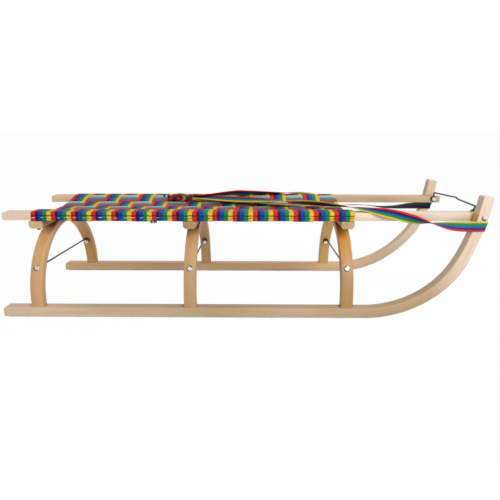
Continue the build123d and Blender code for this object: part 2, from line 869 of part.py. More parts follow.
# ---------------------------------------------------------------- build and write
os.makedirs("parts", exist_ok=True)
for side_name, side_sign in sides.items():
    build_runner(side_name, side_sign)
    build_shoe(side_name, side_sign)
    build_rail(side_name, side_sign)
    build_leg_bolts(side_name, side_sign)
    build_leg_nuts(side_name, side_sign)
    build_rail_screws(side_name, side_sign)
    build_horn_bolt(side_name, side_sign)
    build_horn_nut(side_name, side_sign)
for arch_name, arch_place in arch_stations.items():
    build_arch(arch_name, arch_place)
    build_crossbar(arch_name, arch_place)
    build_tie_rod(arch_name, arch_place)
build_front_brace()
for band_index in range(cross_band_count):
    build_cross_band(band_index)
for band_index in range(long_band_count):
    build_long_band(band_index)
for side_name, side_sign in sides.items():
    build_strap_loop(side_name, side_sign)
build_strap("pull_strap_right", *right_strap())
build_strap("pull_strap_left", *left_strap())
build_strap("pull_strap_tail", *strap_tail())
build_strap_knot()
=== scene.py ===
"""Looks of the wooden three-arch sled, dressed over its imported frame.

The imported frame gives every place. This script adds the visible meshes and finishes.
Lengths are in metres: +X points to the horns, +Y to the sled's left, +Z up.
"""
from __future__ import annotations

import json
import logging
import math
from collections.abc import Callable, Sequence
from dataclasses import dataclass, field
from enum import Enum

import bmesh
import bpy
from bpy.types import ID, Material, Mesh, Node, NodeSocket, Object
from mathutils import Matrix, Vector

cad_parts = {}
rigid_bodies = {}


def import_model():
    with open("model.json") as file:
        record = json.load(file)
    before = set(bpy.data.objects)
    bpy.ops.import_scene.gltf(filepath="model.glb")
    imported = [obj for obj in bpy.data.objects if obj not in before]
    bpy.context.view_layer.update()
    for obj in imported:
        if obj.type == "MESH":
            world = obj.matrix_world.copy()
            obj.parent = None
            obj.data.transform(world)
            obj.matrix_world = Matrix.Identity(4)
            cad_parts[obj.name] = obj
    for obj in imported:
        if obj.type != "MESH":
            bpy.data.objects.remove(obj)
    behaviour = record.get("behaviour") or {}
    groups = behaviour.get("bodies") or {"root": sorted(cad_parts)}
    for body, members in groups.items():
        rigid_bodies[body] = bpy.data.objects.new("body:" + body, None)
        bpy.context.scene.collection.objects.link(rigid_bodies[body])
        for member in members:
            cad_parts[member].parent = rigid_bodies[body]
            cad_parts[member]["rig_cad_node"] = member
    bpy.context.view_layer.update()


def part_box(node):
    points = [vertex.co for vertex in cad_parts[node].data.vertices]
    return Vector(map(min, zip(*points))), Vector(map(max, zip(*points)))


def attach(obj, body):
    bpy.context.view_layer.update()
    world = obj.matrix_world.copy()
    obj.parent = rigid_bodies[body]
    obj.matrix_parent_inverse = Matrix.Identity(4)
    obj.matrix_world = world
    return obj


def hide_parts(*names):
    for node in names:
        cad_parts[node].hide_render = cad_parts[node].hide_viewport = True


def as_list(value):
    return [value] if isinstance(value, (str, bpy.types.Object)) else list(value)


LOG = logging.getLogger("sled")
MM = 0.001

Point2 = tuple[float, float]
Point3 = tuple[float, float, float]
Colour = tuple[float, float, float]
Stripes = tuple[Colour, Colour, Colour, Colour, Colour]
Place = Callable[[float, float, float], Vector]
PartPlace = tuple[Vector, Vector, Vector]


class Side(Enum):
    """The two sides of the sled, with the sign of their Y."""

    RIGHT = -1
    LEFT = 1

    @property
    def label(self) -> str:
        """The side's word in node names."""
        return self.name.lower()


class Axis(Enum):
    """An axis of the sled's frame."""

    X = 0
    Y = 1
    Z = 2


# ---------------------------------------------------------------- node helpers
class NodeTree:
    """A thin wrapper that adds and joins nodes in a node tree."""

    def __init__(self, tree: bpy.types.NodeTree) -> None:
        """Wraps a shader or geometry node tree."""
        self.tree = tree

    def add(self, kind: str, values: dict | None = None, **settings: object) -> Node:
        """Adds a node of a type, with values or sockets for its inputs and settings of its own."""
        node = self.tree.nodes.new(kind)
        for key, value in settings.items():
            setattr(node, key, value)
        self.fill(node, values or {})
        return node

    def fill(self, node: Node, values: dict) -> None:
        """Joins a node's inputs to sockets, or sets their values."""
        for key, value in values.items():
            if isinstance(value, NodeSocket):
                self.tree.links.new(value, node.inputs[key])
            else:
                node.inputs[key].default_value = value

    def math(self, operation: str, *values: object) -> NodeSocket:
        """The result of a Math node on numbers or sockets."""
        return self.add("ShaderNodeMath", dict(enumerate(values)), operation=operation).outputs[0]

    def plus(self, first: object, second: object) -> NodeSocket:
        """The sum of two values."""
        return self.math("ADD", first, second)

    def minus(self, first: object, second: object) -> NodeSocket:
        """The first value less the second."""
        return self.math("SUBTRACT", first, second)

    def times(self, first: object, second: object) -> NodeSocket:
        """The product of two values."""
        return self.math("MULTIPLY", first, second)

    def over(self, first: object, second: object) -> NodeSocket:
        """The first value divided by the second."""
        return self.math("DIVIDE", first, second)

    def mix_colour(self, factor: object, first: object, second: object) -> NodeSocket:
        """Blends two colours or sockets: a factor of 0 gives the first, 1 the second."""
        values = {0: factor, 6: opaque(first), 7: opaque(second)}
        return self.add("ShaderNodeMix", values, data_type="RGBA").outputs[2]

    def span(self, value: object, low: float, high: float, to_low: float = 0.0,
             to_high: float = 1.0) -> NodeSocket:
        """Maps the range from low to high to another, clamped and smooth."""
        values = dict(enumerate((value, low, high, to_low, to_high)))
        return self.add("ShaderNodeMapRange", values, interpolation_type="SMOOTHSTEP").outputs[0]

    def ramp(self, value: object, start: float, end: float) -> NodeSocket:
        """A smooth step from 0 at start to 1 at end, in either direction."""
        if start < end:
            return self.span(value, start, end)
        return self.span(value, end, start, 1.0, 0.0)

    def rounded(self, share: object) -> NodeSocket:
        """A parabola that is 1 in the middle and 0 at a share of 1 either way."""
        return self.minus(1.0, self.times(share, share))

    def noise(self, vector: object, scale: object, detail: float,
              distortion: float = 0.0) -> NodeSocket:
        """The value of a noise texture whose scale is one value, or a number for each axis."""
        if isinstance(scale, tuple):
            scaled = self.add("ShaderNodeVectorMath", {0: vector, 1: scale}, operation="MULTIPLY")
            vector, scale = scaled.outputs[0], 1.0
        values = {"Vector": vector, "Scale": scale, "Detail": detail, "Distortion": distortion}
        return self.add("ShaderNodeTexNoise", values).outputs[0]

    def bump(self, height: object, strength: float, distance: float) -> NodeSocket:
        """The normal that a height gives."""
        values = {"Strength": strength, "Distance": distance, "Height": height}
        return self.add("ShaderNodeBump", values).outputs[0]

    def place(self) -> NodeSocket:
        """The shaded point's place in the sled's frame."""
        return self.add("ShaderNodeTexCoord").outputs["Object"]

    def axes(self, vector: object) -> Sequence[NodeSocket]:
        """The three numbers of a vector."""
        return self.add("ShaderNodeSeparateXYZ", {0: vector}).outputs

    def attribute(self, name: str, data_type: str) -> NodeSocket:
        """Reads a named attribute in a geometry tree."""
        return self.add("GeometryNodeInputNamedAttribute", {"Name": name}, data_type=data_type).outputs[0]

    def store(self, geometry: object, name: str, data_type: str, value: object) -> NodeSocket:
        """Stores a named attribute on the points of a geometry."""
        values = {"Geometry": geometry, "Name": name, "Value": value}
        return self.add("GeometryNodeStoreNamedAttribute", values, data_type=data_type).outputs[0]

    def dress(self, shape: object, given: Node, result: Node) -> None:
        """Ends a geometry tree: makes the shape real and gives it the material that was put in."""
        real = self.add("GeometryNodeRealizeInstances", {"Geometry": shape}).outputs[0]
        values = {"Geometry": real, "Material": given.outputs["Material"]}
        self.fill(result, {0: self.add("GeometryNodeSetMaterial", values).outputs[0]})

    def seen(self) -> NodeSocket:
        """One where a surface is seen directly, in a reflection or through glass."""
        path = self.add("ShaderNodeLightPath").outputs
        direct = self.math("MAXIMUM", path["Is Camera Ray"], path["Is Glossy Ray"])
        return self.math("MAXIMUM", direct, path["Is Transmission Ray"])


def opaque(value: object) -> object:
    """Gives a plain colour its alpha, and passes a socket through."""
    return value if isinstance(value, NodeSocket) else (*value, 1.0)


def new_group(name: str, kind: str, inputs: dict[str, str],
              outputs: dict[str, str]) -> tuple[NodeTree, Node, Node]:
    """Makes a Shader or Geometry group, and gives its wrapped tree, input node and output node."""
    tree = bpy.data.node_groups.new(name, kind + "NodeTree")
    for way, sockets in (("INPUT", inputs), ("OUTPUT", outputs)):
        for label, value_kind in sockets.items():
            tree.interface.new_socket(label, in_out=way, socket_type="NodeSocket" + value_kind)
    return NodeTree(tree), tree.nodes.new("NodeGroupInput"), tree.nodes.new("NodeGroupOutput")


# ---------------------------------------------------------------- shared shader effects
class SharedEffects:
    """Shader node groups that several finishes use, each built once."""

    surface: dict[str, str] = {"Color": "Color", "Roughness": "Float", "Height": "Float"}
    stripes: tuple[str, ...] = tuple(f"Stripe {number}" for number in range(1, 6))
    borders: tuple[str, ...] = tuple(f"Border {number}" for number in range(1, 5))

    def __init__(self) -> None:
        """Builds the groups."""
        self.grain = self._grain()
        self.weave = self._weave()
        self.tarnish = self._tarnish()

    def _grain(self) -> bpy.types.NodeTree:
        """Beech grain: growth lines along the piece, broad tone and short ray flecks.

        Returns:
            A group that turns grain coordinates into a colour, a roughness and a height.
        """
        inputs = {"Grain": "Vector", "Pale": "Color", "Line": "Color", "Fleck": "Color", "Roughness": "Float"}
        nodes, given, result = new_group("beech_grain", "Shader", inputs, self.surface)
        grain, pale = given.outputs["Grain"], given.outputs["Pale"]
        tone = nodes.noise(grain, (5.0, 60.0, 60.0), 3.0)
        lines = nodes.noise(grain, (9.0, 620.0, 620.0), 4.0, 0.6)
        fibres = nodes.noise(grain, (60.0, 3200.0, 3200.0), 2.0)
        flecks = nodes.noise(grain, (420.0, 2600.0, 2600.0), 1.0)
        line, fleck = nodes.span(lines, 0.50, 0.72), nodes.span(flecks, 0.66, 0.74)
        mixed = nodes.plus(nodes.times(nodes.span(tone, 0.34, 0.70), 0.55), nodes.times(line, 0.42))
        values = {0: 1.0, 6: pale, 7: given.outputs["Line"]}
        darker = nodes.add("ShaderNodeMix", values, data_type="RGBA", blend_type="MULTIPLY")
        colour = nodes.mix_colour(mixed, pale, darker.outputs[2])
        colour = nodes.mix_colour(nodes.times(fleck, 0.42), colour, given.outputs["Fleck"])
        height = nodes.plus(nodes.times(lines, 0.6), nodes.times(fibres, 0.4))
        height = nodes.minus(height, nodes.times(fleck, 0.5))
        rough = nodes.plus(given.outputs["Roughness"], nodes.times(line, 0.12))
        nodes.fill(result, {"Color": colour, "Roughness": rough, "Height": height})
        return nodes.tree

    def _weave(self) -> bpy.types.NodeTree:
        """Flat webbing: five woven stripes, ribs along the band and picks across it, and painted shade in the
        weave's hollows.

        Returns:
            A group that turns weave coordinates into a colour, a roughness and a height.
        """
        inputs = {"Weave": "Vector", "Width": "Float", "Rib": "Float", "Pick": "Float", "Roughness": "Float"}
        inputs |= dict.fromkeys(self.stripes, "Color") | dict.fromkeys(self.borders, "Float")
        nodes, given, result = new_group("webbing_weave", "Shader", inputs, self.surface)
        weave = given.outputs["Weave"]
        across, along, _ = nodes.axes(weave)
        ribs = nodes.math("SINE", nodes.times(nodes.over(across, given.outputs["Rib"]), math.tau))
        shifted = nodes.plus(nodes.over(along, given.outputs["Pick"]), nodes.times(ribs, 0.25))
        picks = nodes.math("SINE", nodes.times(shifted, math.tau))
        drift = nodes.span(nodes.noise(weave, (0.0, 90.0, 0.0), 2.0), 0.0, 1.0, -0.02, 0.02)
        share = nodes.plus(nodes.over(across, given.outputs["Width"]), 0.5)
        share = nodes.plus(share, nodes.plus(nodes.times(picks, 0.012), drift))
        colour = given.outputs[self.stripes[0]]
        for border, name in zip(self.borders, self.stripes[1:]):
            step = nodes.span(nodes.minus(share, given.outputs[border]), -0.008, 0.008)
            colour = nodes.mix_colour(step, colour, given.outputs[name])
        relief = nodes.times(nodes.times(nodes.plus(ribs, 1.0), nodes.plus(picks, 1.0)), 0.25)
        # Painted shade: below, the colour darkens toward black in the weave's hollows and in noise patches.
        patchy = nodes.span(nodes.noise(weave, (160.0, 260.0, 1.0), 2.0), 0.35, 0.75, 0.0, 0.16)
        shade = nodes.plus(nodes.times(nodes.minus(1.0, relief), 0.38), patchy)
        fuzz = nodes.noise(weave, (900.0, 260.0, 1.0), 3.0)
        worn = nodes.times(nodes.span(fuzz, 0.55, 0.9), 0.02)
        colour = nodes.mix_colour(shade, colour, (0.0, 0.0, 0.004))
        colour = nodes.mix_colour(worn, colour, (0.9, 0.9, 0.95))
        rough = nodes.plus(given.outputs["Roughness"], nodes.times(fuzz, 0.15))
        nodes.fill(result, {"Color": colour, "Roughness": rough, "Height": relief})
        return nodes.tree

    def _tarnish(self) -> bpy.types.NodeTree:
        """A group that turns a position into dull blotches and the height of fine scratches."""
        inputs, outputs = {"Vector": "Vector", "Scale": "Float"}, {"Mask": "Float", "Height": "Float"}
        nodes, given, result = new_group("metal_tarnish", "Shader", inputs, outputs)
        blotch = nodes.noise(given.outputs["Vector"], given.outputs["Scale"], 4.0)
        scratch = nodes.noise(given.outputs["Vector"], (180.0, 2400.0, 2400.0), 2.0)
        nodes.fill(result, {"Mask": nodes.span(blotch, 0.42, 0.66), "Height": scratch})
        return nodes.tree


# ---------------------------------------------------------------- finishes
@dataclass(eq=False)
class Finish:
    """A material made once and kept."""

    name: str
    _material: Material | None = field(default=None, init=False, repr=False)

    def start(self) -> tuple[NodeTree, Node]:
        """Makes the material, and gives its wrapped tree and its Principled node."""
        material = bpy.data.materials.new(self.name)
        material.use_nodes = True
        self._material = material
        return NodeTree(material.node_tree), material.node_tree.nodes["Principled BSDF"]

    def build(self) -> None:
        """Fills the material; each finish has its own."""
        raise NotImplementedError

    @property
    def material(self) -> Material:
        """The material, built when it is first asked for."""
        if self._material is None:
            self.build()
        return self._material


@dataclass(frozen=True)
class Tint:
    """A slow change of a board's colour along one axis.

    Attributes:
        axis: The axis that it follows.
        start: Where the change starts, in metres.
        end: Where it is complete.
        colour: The colour past the end.
    """

    axis: Axis
    start: float
    end: float
    colour: Colour


@dataclass(frozen=True)
class Stain:
    """A warm amber patch on the rear face of a horn, level with the rail: the coat's own amber with painted
    warm light bounced from the rail and strap, in shade.

    Attributes:
        colour: Its colour.
        rise: Heights where it starts and where it is complete, in metres.
        fall: Heights where it ends and where it is still complete.
        face: Grain coordinates through the wood between which the face starts.
    """

    colour: Colour
    rise: tuple[float, float] = (0.214, 0.221)
    fall: tuple[float, float] = (0.2445, 0.2395)
    face: tuple[float, float] = (0.0600, 0.0612)


@dataclass(eq=False)
class BeechFinish(Finish):
    """Planed beech under a thin clear coat."""

    effects: SharedEffects
    pale: Colour
    tints: tuple[Tint, ...] = ()
    stain: Stain | None = None
    line: Colour = (0.78, 0.70, 0.60)
    fleck: Colour = (0.40, 0.22, 0.12)
    roughness: float = 0.46

    def build(self) -> None:
        """Grain from the piece's own coordinates, with a faint coat."""
        nodes, shader = self.start()
        source = nodes.add("ShaderNodeAttribute", attribute_name="grain").outputs["Vector"]
        place = nodes.axes(nodes.place())
        pale: object = self.pale
        for tint in self.tints:
            reached = nodes.ramp(place[tint.axis.value], tint.start, tint.end)
            pale = nodes.mix_colour(reached, pale, tint.colour)
        # Painted bounce light: a warm amber patch on the horn's rear face, over the coat's own amber.
        if self.stain is not None:
            lower, upper = nodes.ramp(place[2], *self.stain.rise), nodes.ramp(place[2], *self.stain.fall)
            face = nodes.ramp(nodes.axes(source)[2], *self.stain.face)
            patch = nodes.times(nodes.times(lower, upper), face)
            pale = nodes.mix_colour(patch, pale, self.stain.colour)
        values = {
            "Grain": source,
            "Pale": opaque(pale),
            "Line": opaque(self.line),
            "Fleck": opaque(self.fleck),
            "Roughness": self.roughness,
        }
        grain = nodes.add("ShaderNodeGroup", values, node_tree=self.effects.grain)
        surface = {
            "Base Color": grain.outputs["Color"],
            "Roughness": grain.outputs["Roughness"],
            "Specular IOR Level": 0.35,
            "Coat Weight": 0.10,
            "Coat Roughness": 0.28,
            "Normal": nodes.bump(grain.outputs["Height"], 0.25, 0.00012),
        }
        nodes.fill(shader, surface)


@dataclass(eq=False)
class MetalFinish(Finish):
    """Plated or plain steel with dull blotches."""

    effects: SharedEffects
    colour: Colour
    dull: Colour
    roughness: float = 0.3
    dull_roughness: float = 0.5
    blotch: float = 300.0

    def build(self) -> None:
        """Metal whose colour and roughness vary with the blotches."""
        nodes, shader = self.start()
        values = {"Vector": nodes.place(), "Scale": self.blotch}
        tarnish = nodes.add("ShaderNodeGroup", values, node_tree=self.effects.tarnish)
        mask = tarnish.outputs["Mask"]
        surface = {
            "Base Color": nodes.mix_colour(mask, self.colour, self.dull),
            "Roughness": nodes.span(mask, 0.0, 1.0, self.roughness, self.dull_roughness),
            "Metallic": 1.0,
            "Normal": nodes.bump(tarnish.outputs["Height"], 0.15, 0.00005),
        }
        nodes.fill(shader, surface)


@dataclass(frozen=True)
class Seam:
    """A painted dark line of shade along the crease of a folded or sewn hem.

    Attributes:
        height: Its height above the ground, in metres.
        width: Its width.
        depth: How dark it is, up to one.
    """

    height: float
    width: float
    depth: float


@dataclass(frozen=True)
class Stretch:
    """A stretch of webbing with its own stripes: paler ones are a painted highlight, darker ones painted
    shade.

    Attributes:
        along: X where the change starts and where it is complete, in metres.
        across: Y where the change starts and where it is complete.
        stripes: The stripes there.
    """

    along: tuple[float, float]
    across: tuple[float, float]
    stripes: Stripes


@dataclass(eq=False)
class WebbingFinish(Finish):
    """Woven polypropylene webbing with five stripes."""

    effects: SharedEffects
    width: float
    stripes: Stripes
    rib: float = 0.0016
    pick: float = 0.0011
    roughness: float = 0.55
    specular: float = 0.14
    seams: tuple[Seam, ...] = ()
    seam_start: tuple[float, float] = (0.1385, 0.1395)
    borders: tuple[float, float, float, float] = (0.21, 0.365, 0.575, 0.785)
    stretches: tuple[Stretch, ...] = ()

    def seam_mask(self, nodes: NodeTree) -> NodeSocket:
        """How dark the painted shade lines along the folded and sewn hems are on the rails' outer faces."""
        place = nodes.place()
        _, across, height = nodes.axes(place)
        wobble = nodes.span(nodes.noise(place, (110.0, 1.0, 1.0), 2.0), 0.0, 1.0, -0.0009, 0.0009)
        level = nodes.plus(height, wobble)
        broken = nodes.span(nodes.noise(place, (60.0, 1.0, 90.0), 1.0), 0.3, 0.5, 0.45, 1.0)
        mask: object = 0.0
        for shade_line in self.seams:
            near = nodes.math("ABSOLUTE", nodes.minus(level, shade_line.height))
            line = nodes.span(near, shade_line.width / 2, shade_line.width * 1.2, shade_line.depth, 0.0)
            mask = nodes.math("MAXIMUM", mask, nodes.times(line, broken))
        return nodes.times(mask, nodes.ramp(nodes.math("ABSOLUTE", across), *self.seam_start))

    def build(self) -> None:
        """Stripes and weave from the band's own coordinates."""
        nodes, shader = self.start()
        source = nodes.add("ShaderNodeAttribute", attribute_name="weave").outputs["Vector"]
        values: dict[str, object] = {
            "Weave": source,
            "Width": self.width,
            "Rib": self.rib,
            "Pick": self.pick,
            "Roughness": self.roughness,
            **dict(zip(self.effects.borders, self.borders)),
        }
        x, y, _ = nodes.axes(nodes.place())
        masks = [
            nodes.times(nodes.ramp(x, *part.along), nodes.ramp(y, *part.across)) for part in self.stretches
        ]
        for index, (name, colour) in enumerate(zip(self.effects.stripes, self.stripes)):
            stripe: object = colour
            for mask, part in zip(masks, self.stretches):
                stripe = nodes.mix_colour(mask, stripe, part.stripes[index])
            values[name] = opaque(stripe)
        weave = nodes.add("ShaderNodeGroup", values, node_tree=self.effects.weave)
        colour = weave.outputs["Color"]
        if self.seams:
            # Painted shade along the hems' creases.
            colour = nodes.mix_colour(self.seam_mask(nodes), colour, (0.004, 0.002, 0.006))
        surface = {
            "Base Color": colour,
            "Roughness": weave.outputs["Roughness"],
            "Specular IOR Level": self.specular,
            "Normal": nodes.bump(weave.outputs["Height"], 0.5, 0.0003),
        }
        nodes.fill(shader, surface)


@dataclass(eq=False)
class ThreadFinish(Finish):
    """Sewing thread, twisted and a little fuzzy."""

    colour: Colour
    shade: Colour

    def build(self) -> None:
        """Fine twist lines over a matt thread."""
        nodes, shader = self.start()
        twist = nodes.noise(nodes.place(), (4000.0, 1500.0, 1500.0), 2.0)
        surface = {
            "Base Color": nodes.mix_colour(nodes.span(twist, 0.4, 0.65), self.colour, self.shade),
            "Roughness": nodes.span(twist, 0.3, 0.7, 0.55, 0.8),
            "Normal": nodes.bump(twist, 0.4, 0.0001),
        }
        nodes.fill(shader, surface)


RAINBOW: Stripes = (
    (0.920, 0.036, 0.024), (0.048, 0.007, 0.070), (0.004, 0.075, 0.470),
    (0.006, 0.300, 0.080), (0.960, 0.630, 0.035),
)
# Painted sheen: the long bands' stripes are paled to stand in for the white sheen they catch along their
# length.
PAINTED_SHEEN_RAINBOW: Stripes = (
    (0.560, 0.040, 0.070), (0.160, 0.060, 0.180), (0.070, 0.200, 0.330),
    (0.190, 0.540, 0.400), (0.860, 0.840, 0.420),
)
SHADED_RAINBOW: Stripes = (
    (0.420, 0.014, 0.018), (0.030, 0.004, 0.030), (0.004, 0.018, 0.090),
    (0.008, 0.070, 0.030), (0.620, 0.270, 0.020),
)
# Painted shade: the strap's stripes darkened where its left branch runs towards the horn.
PAINTED_SHADE_RAINBOW: Stripes = (
    (0.440, 0.014, 0.020), (0.022, 0.003, 0.032), (0.004, 0.022, 0.150),
    (0.008, 0.110, 0.055), (0.110, 0.090, 0.020),
)
# Painted highlight: the strap's stripes paled ahead of the right branch's twist.
PAINTED_HIGHLIGHT_RAINBOW: Stripes = (
    (0.740, 0.045, 0.100), (0.085, 0.032, 0.170), (0.036, 0.165, 0.400),
    (0.030, 0.290, 0.085), (0.740, 0.660, 0.110),
)


@dataclass
class Finishes:
    """Every finish of the sled."""

    effects: SharedEffects = field(default_factory=SharedEffects)

    def __post_init__(self) -> None:
        """Sets each finish's own values."""
        fx = self.effects
        # Painted light and shade on the right runner: darker from the rear along the sole into the bend,
        # paler up the horn, standing in for light that falls off downward.
        runner_painted_falloff = (
            Tint(Axis.X, -0.45, -0.05, (0.50, 0.36, 0.23)),
            Tint(Axis.X, 0.10, 0.30, (0.44, 0.31, 0.185)),
            Tint(Axis.X, 0.42, 0.52, (0.70, 0.56, 0.43)),
        )
        clear_runner = (Tint(Axis.X, 0.2, 0.5, (0.68, 0.53, 0.38)),)
        # Painted warm bounce light on the right horn's rear face, over the coat's own amber.
        stain = Stain((0.66, 0.34, 0.10))
        self.runners = {
            Side.RIGHT: BeechFinish("runner_beech_right", fx, (0.66, 0.50, 0.345), runner_painted_falloff, stain),
            Side.LEFT: BeechFinish("runner_beech_left", fx, (0.80, 0.55, 0.32), clear_runner),
        }
        right_rail = (
            Tint(Axis.X, 0.0, 0.5, (0.70, 0.58, 0.46)),
            # Painted shade with warm bounce light where the rail's front end meets the horn.
            Tint(Axis.X, 0.514, 0.521, (0.66, 0.38, 0.14)),
        )
        left_rail = (Tint(Axis.X, -0.2, 0.3, (0.53, 0.37, 0.23)),)
        self.rails = {
            Side.RIGHT: BeechFinish("rail_beech_right", fx, (0.86, 0.67, 0.52), right_rail),
            Side.LEFT: BeechFinish("rail_beech_left", fx, (0.73, 0.52, 0.335), left_rail),
        }
        # Painted shade under the seat: each crossbar is dark brown between the rails, keeps its own tone at
        # its right end and turns a mid brown at its left end.
        under = (
            Tint(Axis.Y, -0.1375, -0.1290, (0.38, 0.215, 0.065)),
            Tint(Axis.Y, 0.125, 0.138, (0.52, 0.33, 0.17)),
        )
        bars = {"rear": (0.70, 0.45, 0.23), "middle": (0.41, 0.25, 0.125), "front": (0.50, 0.32, 0.165)}
        self.crossbars = {
            name: BeechFinish(f"crossbar_beech_{name}", fx, pale, under) for name, pale in bars.items()
        }
        self.arches = {
            "rear": self.arch_beech("rear", (0.60, 0.36, 0.165), (0.78, 0.46, 0.20), (0.70, 0.36, 0.12)),
            "middle": self.arch_beech("middle", (0.46, 0.295, 0.15), (0.64, 0.37, 0.145), (0.66, 0.42, 0.20)),
            "front": self.arch_beech("front", (0.385, 0.222, 0.082), (0.66, 0.30, 0.055), (0.74, 0.45, 0.17)),
        }
        self.zinc = MetalFinish("zinc_plate", fx, (0.80, 0.79, 0.76), (0.56, 0.54, 0.51), 0.14, 0.26, 110.0)
        self.shoe = MetalFinish("shoe_steel", fx, (0.55, 0.55, 0.56), (0.34, 0.33, 0.33), 0.3, 0.5, 60.0)
        self.wire = MetalFinish("dark_wire", fx, (0.10, 0.10, 0.105), (0.05, 0.05, 0.055), 0.35, 0.55)
        # Painted shade lines along the hems' creases on the rails' outer faces.
        seams = (Seam(0.2328, 0.0013, 0.95), Seam(0.2265, 0.0009, 0.55))
        self.cross_web = WebbingFinish("cross_webbing", fx, 0.045, RAINBOW, seams=seams)
        # The long bands take the paled stripes of painted sheen.
        self.long_web = WebbingFinish("long_webbing", fx, 0.042, PAINTED_SHEEN_RAINBOW, roughness=0.42, specular=0.4)
        # Painted light on the strap: ahead of the right branch's twist it is painted paler as a highlight,
        # and the left branch's front part is painted darker as shade.
        stretches = (
            Stretch((0.418, 0.427), (-0.128, -0.132), PAINTED_HIGHLIGHT_RAINBOW),
            Stretch((0.235, 0.265), (-0.020, 0.0), PAINTED_SHADE_RAINBOW),
        )
        borders = (0.18, 0.39, 0.57, 0.84)
        self.strap_web = WebbingFinish(
            "strap_webbing", fx, 0.024, RAINBOW, 0.0012, 0.0009, borders=borders, stretches=stretches
        )
        self.knot_web = WebbingFinish("knot_webbing", fx, 0.024, SHADED_RAINBOW, 0.0012, 0.0009)
        self.thread = ThreadFinish("pale_thread", (0.94, 0.94, 0.96), (0.74, 0.75, 0.80))
        self.dark_thread = ThreadFinish("navy_thread", (0.010, 0.012, 0.06), (0.004, 0.004, 0.02))

    def arch_beech(self, name: str, near: Colour, crown: Colour, far: Colour) -> BeechFinish:
        """The beech of one arch: its right leg, its crown painted a deeper orange as shade under the seat,
        its left leg, and a painted contact shadow on top where it meets the crossbar.
        """
        painted_joint_shadow = (crown[0] * 0.55, crown[1] * 0.40, crown[2] * 0.32)
        tints = (
            # Painted shade: the crown and the legs' upper parts turn a deeper orange.
            Tint(Axis.Z, 0.10, 0.19, crown),
            Tint(Axis.Y, 0.02, 0.12, far),
            # Painted contact shadow where the arch runs under the crossbar.
            Tint(Axis.Z, 0.186, 0.200, painted_joint_shadow),
        )
        return BeechFinish(f"arch_beech_{name}", self.effects, near, tints)


# ---------------------------------------------------------------- mesh helpers
def clamped(value: float) -> float:
    """The value, kept between nothing and one."""
    return max(0.0, min(1.0, value))


def spread(start: float, end: float, step: float) -> list[float]:
    """Evenly spaced distances from start to end, both included."""
    count = max(1, math.ceil(abs(end - start) / step))
    return [start + (end - start) * index / count for index in range(count + 1)]


def between(places: Sequence[float], values: Sequence[float], at: float) -> float:
    """The value at a place, along straight lines between the given ones."""
    for index in range(len(places) - 1):
        if at <= places[index + 1]:
            share = (at - places[index]) / (places[index + 1] - places[index])
            return values[index] + max(0.0, share) * (values[index + 1] - values[index])
    return values[-1]


def line_length(line: Sequence[Vector]) -> float:
    """Length of a line of points."""
    return sum((after - before).length for before, after in zip(line, line[1:]))


def direction(line: Sequence[Vector], index: int) -> Vector:
    """The direction of a line at one of its points."""
    return (line[min(index + 1, len(line) - 1)] - line[max(index - 1, 0)]).normalized()


def dense(points: Sequence[Point2], step: float) -> list[Point2]:
    """Adds points on the long runs of a line."""
    result = [points[0]]
    for before, after in zip(points, points[1:]):
        parts = max(1, math.ceil(math.dist(before, after) / step))
        for part in range(1, parts + 1):
            share = part / parts
            result.append(tuple(low + (high - low) * share for low, high in zip(before, after)))
    return result


def round_corners(points: Sequence[Point2], radius: float, steps: int) -> list[Point2]:
    """A line of right angles with its inner corners rounded, each in so many steps."""
    result = [points[0]]
    for before, here, after in zip(points, points[1:], points[2:]):
        into = (Vector(before) - Vector(here)).normalized()
        out = (Vector(after) - Vector(here)).normalized()
        centre = Vector(here) + radius * (into + out)
        for step in range(steps + 1):
            angle = math.pi / 2 * step / steps
            result.append(tuple(centre - radius * (out * math.cos(angle) + into * math.sin(angle))))
    return [*result, points[-1]]


def linked(name: str, data: ID) -> Object:
    """A new object in the scene."""
    piece = bpy.data.objects.new(name, data)
    bpy.context.scene.collection.objects.link(piece)
    return piece


def evaluated_mesh(helper: Object) -> Mesh:
    """The finished mesh of a helper object, which is then removed."""
    evaluated = helper.evaluated_get(bpy.context.evaluated_depsgraph_get())
    mesh = bpy.data.meshes.new_from_object(evaluated)
    bpy.data.objects.remove(helper)
    return mesh


def new_mesh(name: str, vertices: Sequence[Sequence[float]], edges: Sequence[tuple[int, int]],
             faces: Sequence[tuple[int, ...]]) -> Mesh:
    """A mesh of the given vertices, edges and faces."""
    mesh = bpy.data.meshes.new(name)
    mesh.from_pydata([tuple(vertex) for vertex in vertices], edges, faces)
    return mesh


def ring_faces(rings: int, around: int, first: int = 0) -> list[tuple[int, ...]]:
    """Quads that join so many rings of so many vertices, which start at a first number."""
    faces: list[tuple[int, ...]] = []
    for low in range(first, first + (rings - 1) * around, around):
        for step in range(around):
            following = (step + 1) % around
            faces.append((low + step, low + around + step, low + around + following, low + following))
    return faces


class Shading(Enum):
    """How sharp an edge has to be to show, in degrees."""

    CRISP = 40.0
    SOFT = 70.0


def finished(name: str, mesh: Mesh, shading: Shading) -> Object:
    """Turns a mesh outward, shades it and puts it in the scene as an object."""
    work = bmesh.new()
    work.from_mesh(mesh)
    bmesh.ops.recalc_face_normals(work, faces=work.faces)
    work.to_mesh(mesh)
    work.free()
    mesh.shade_smooth()
    mesh.set_sharp_from_angle(angle=math.radians(shading.value))
    return linked(name, mesh)


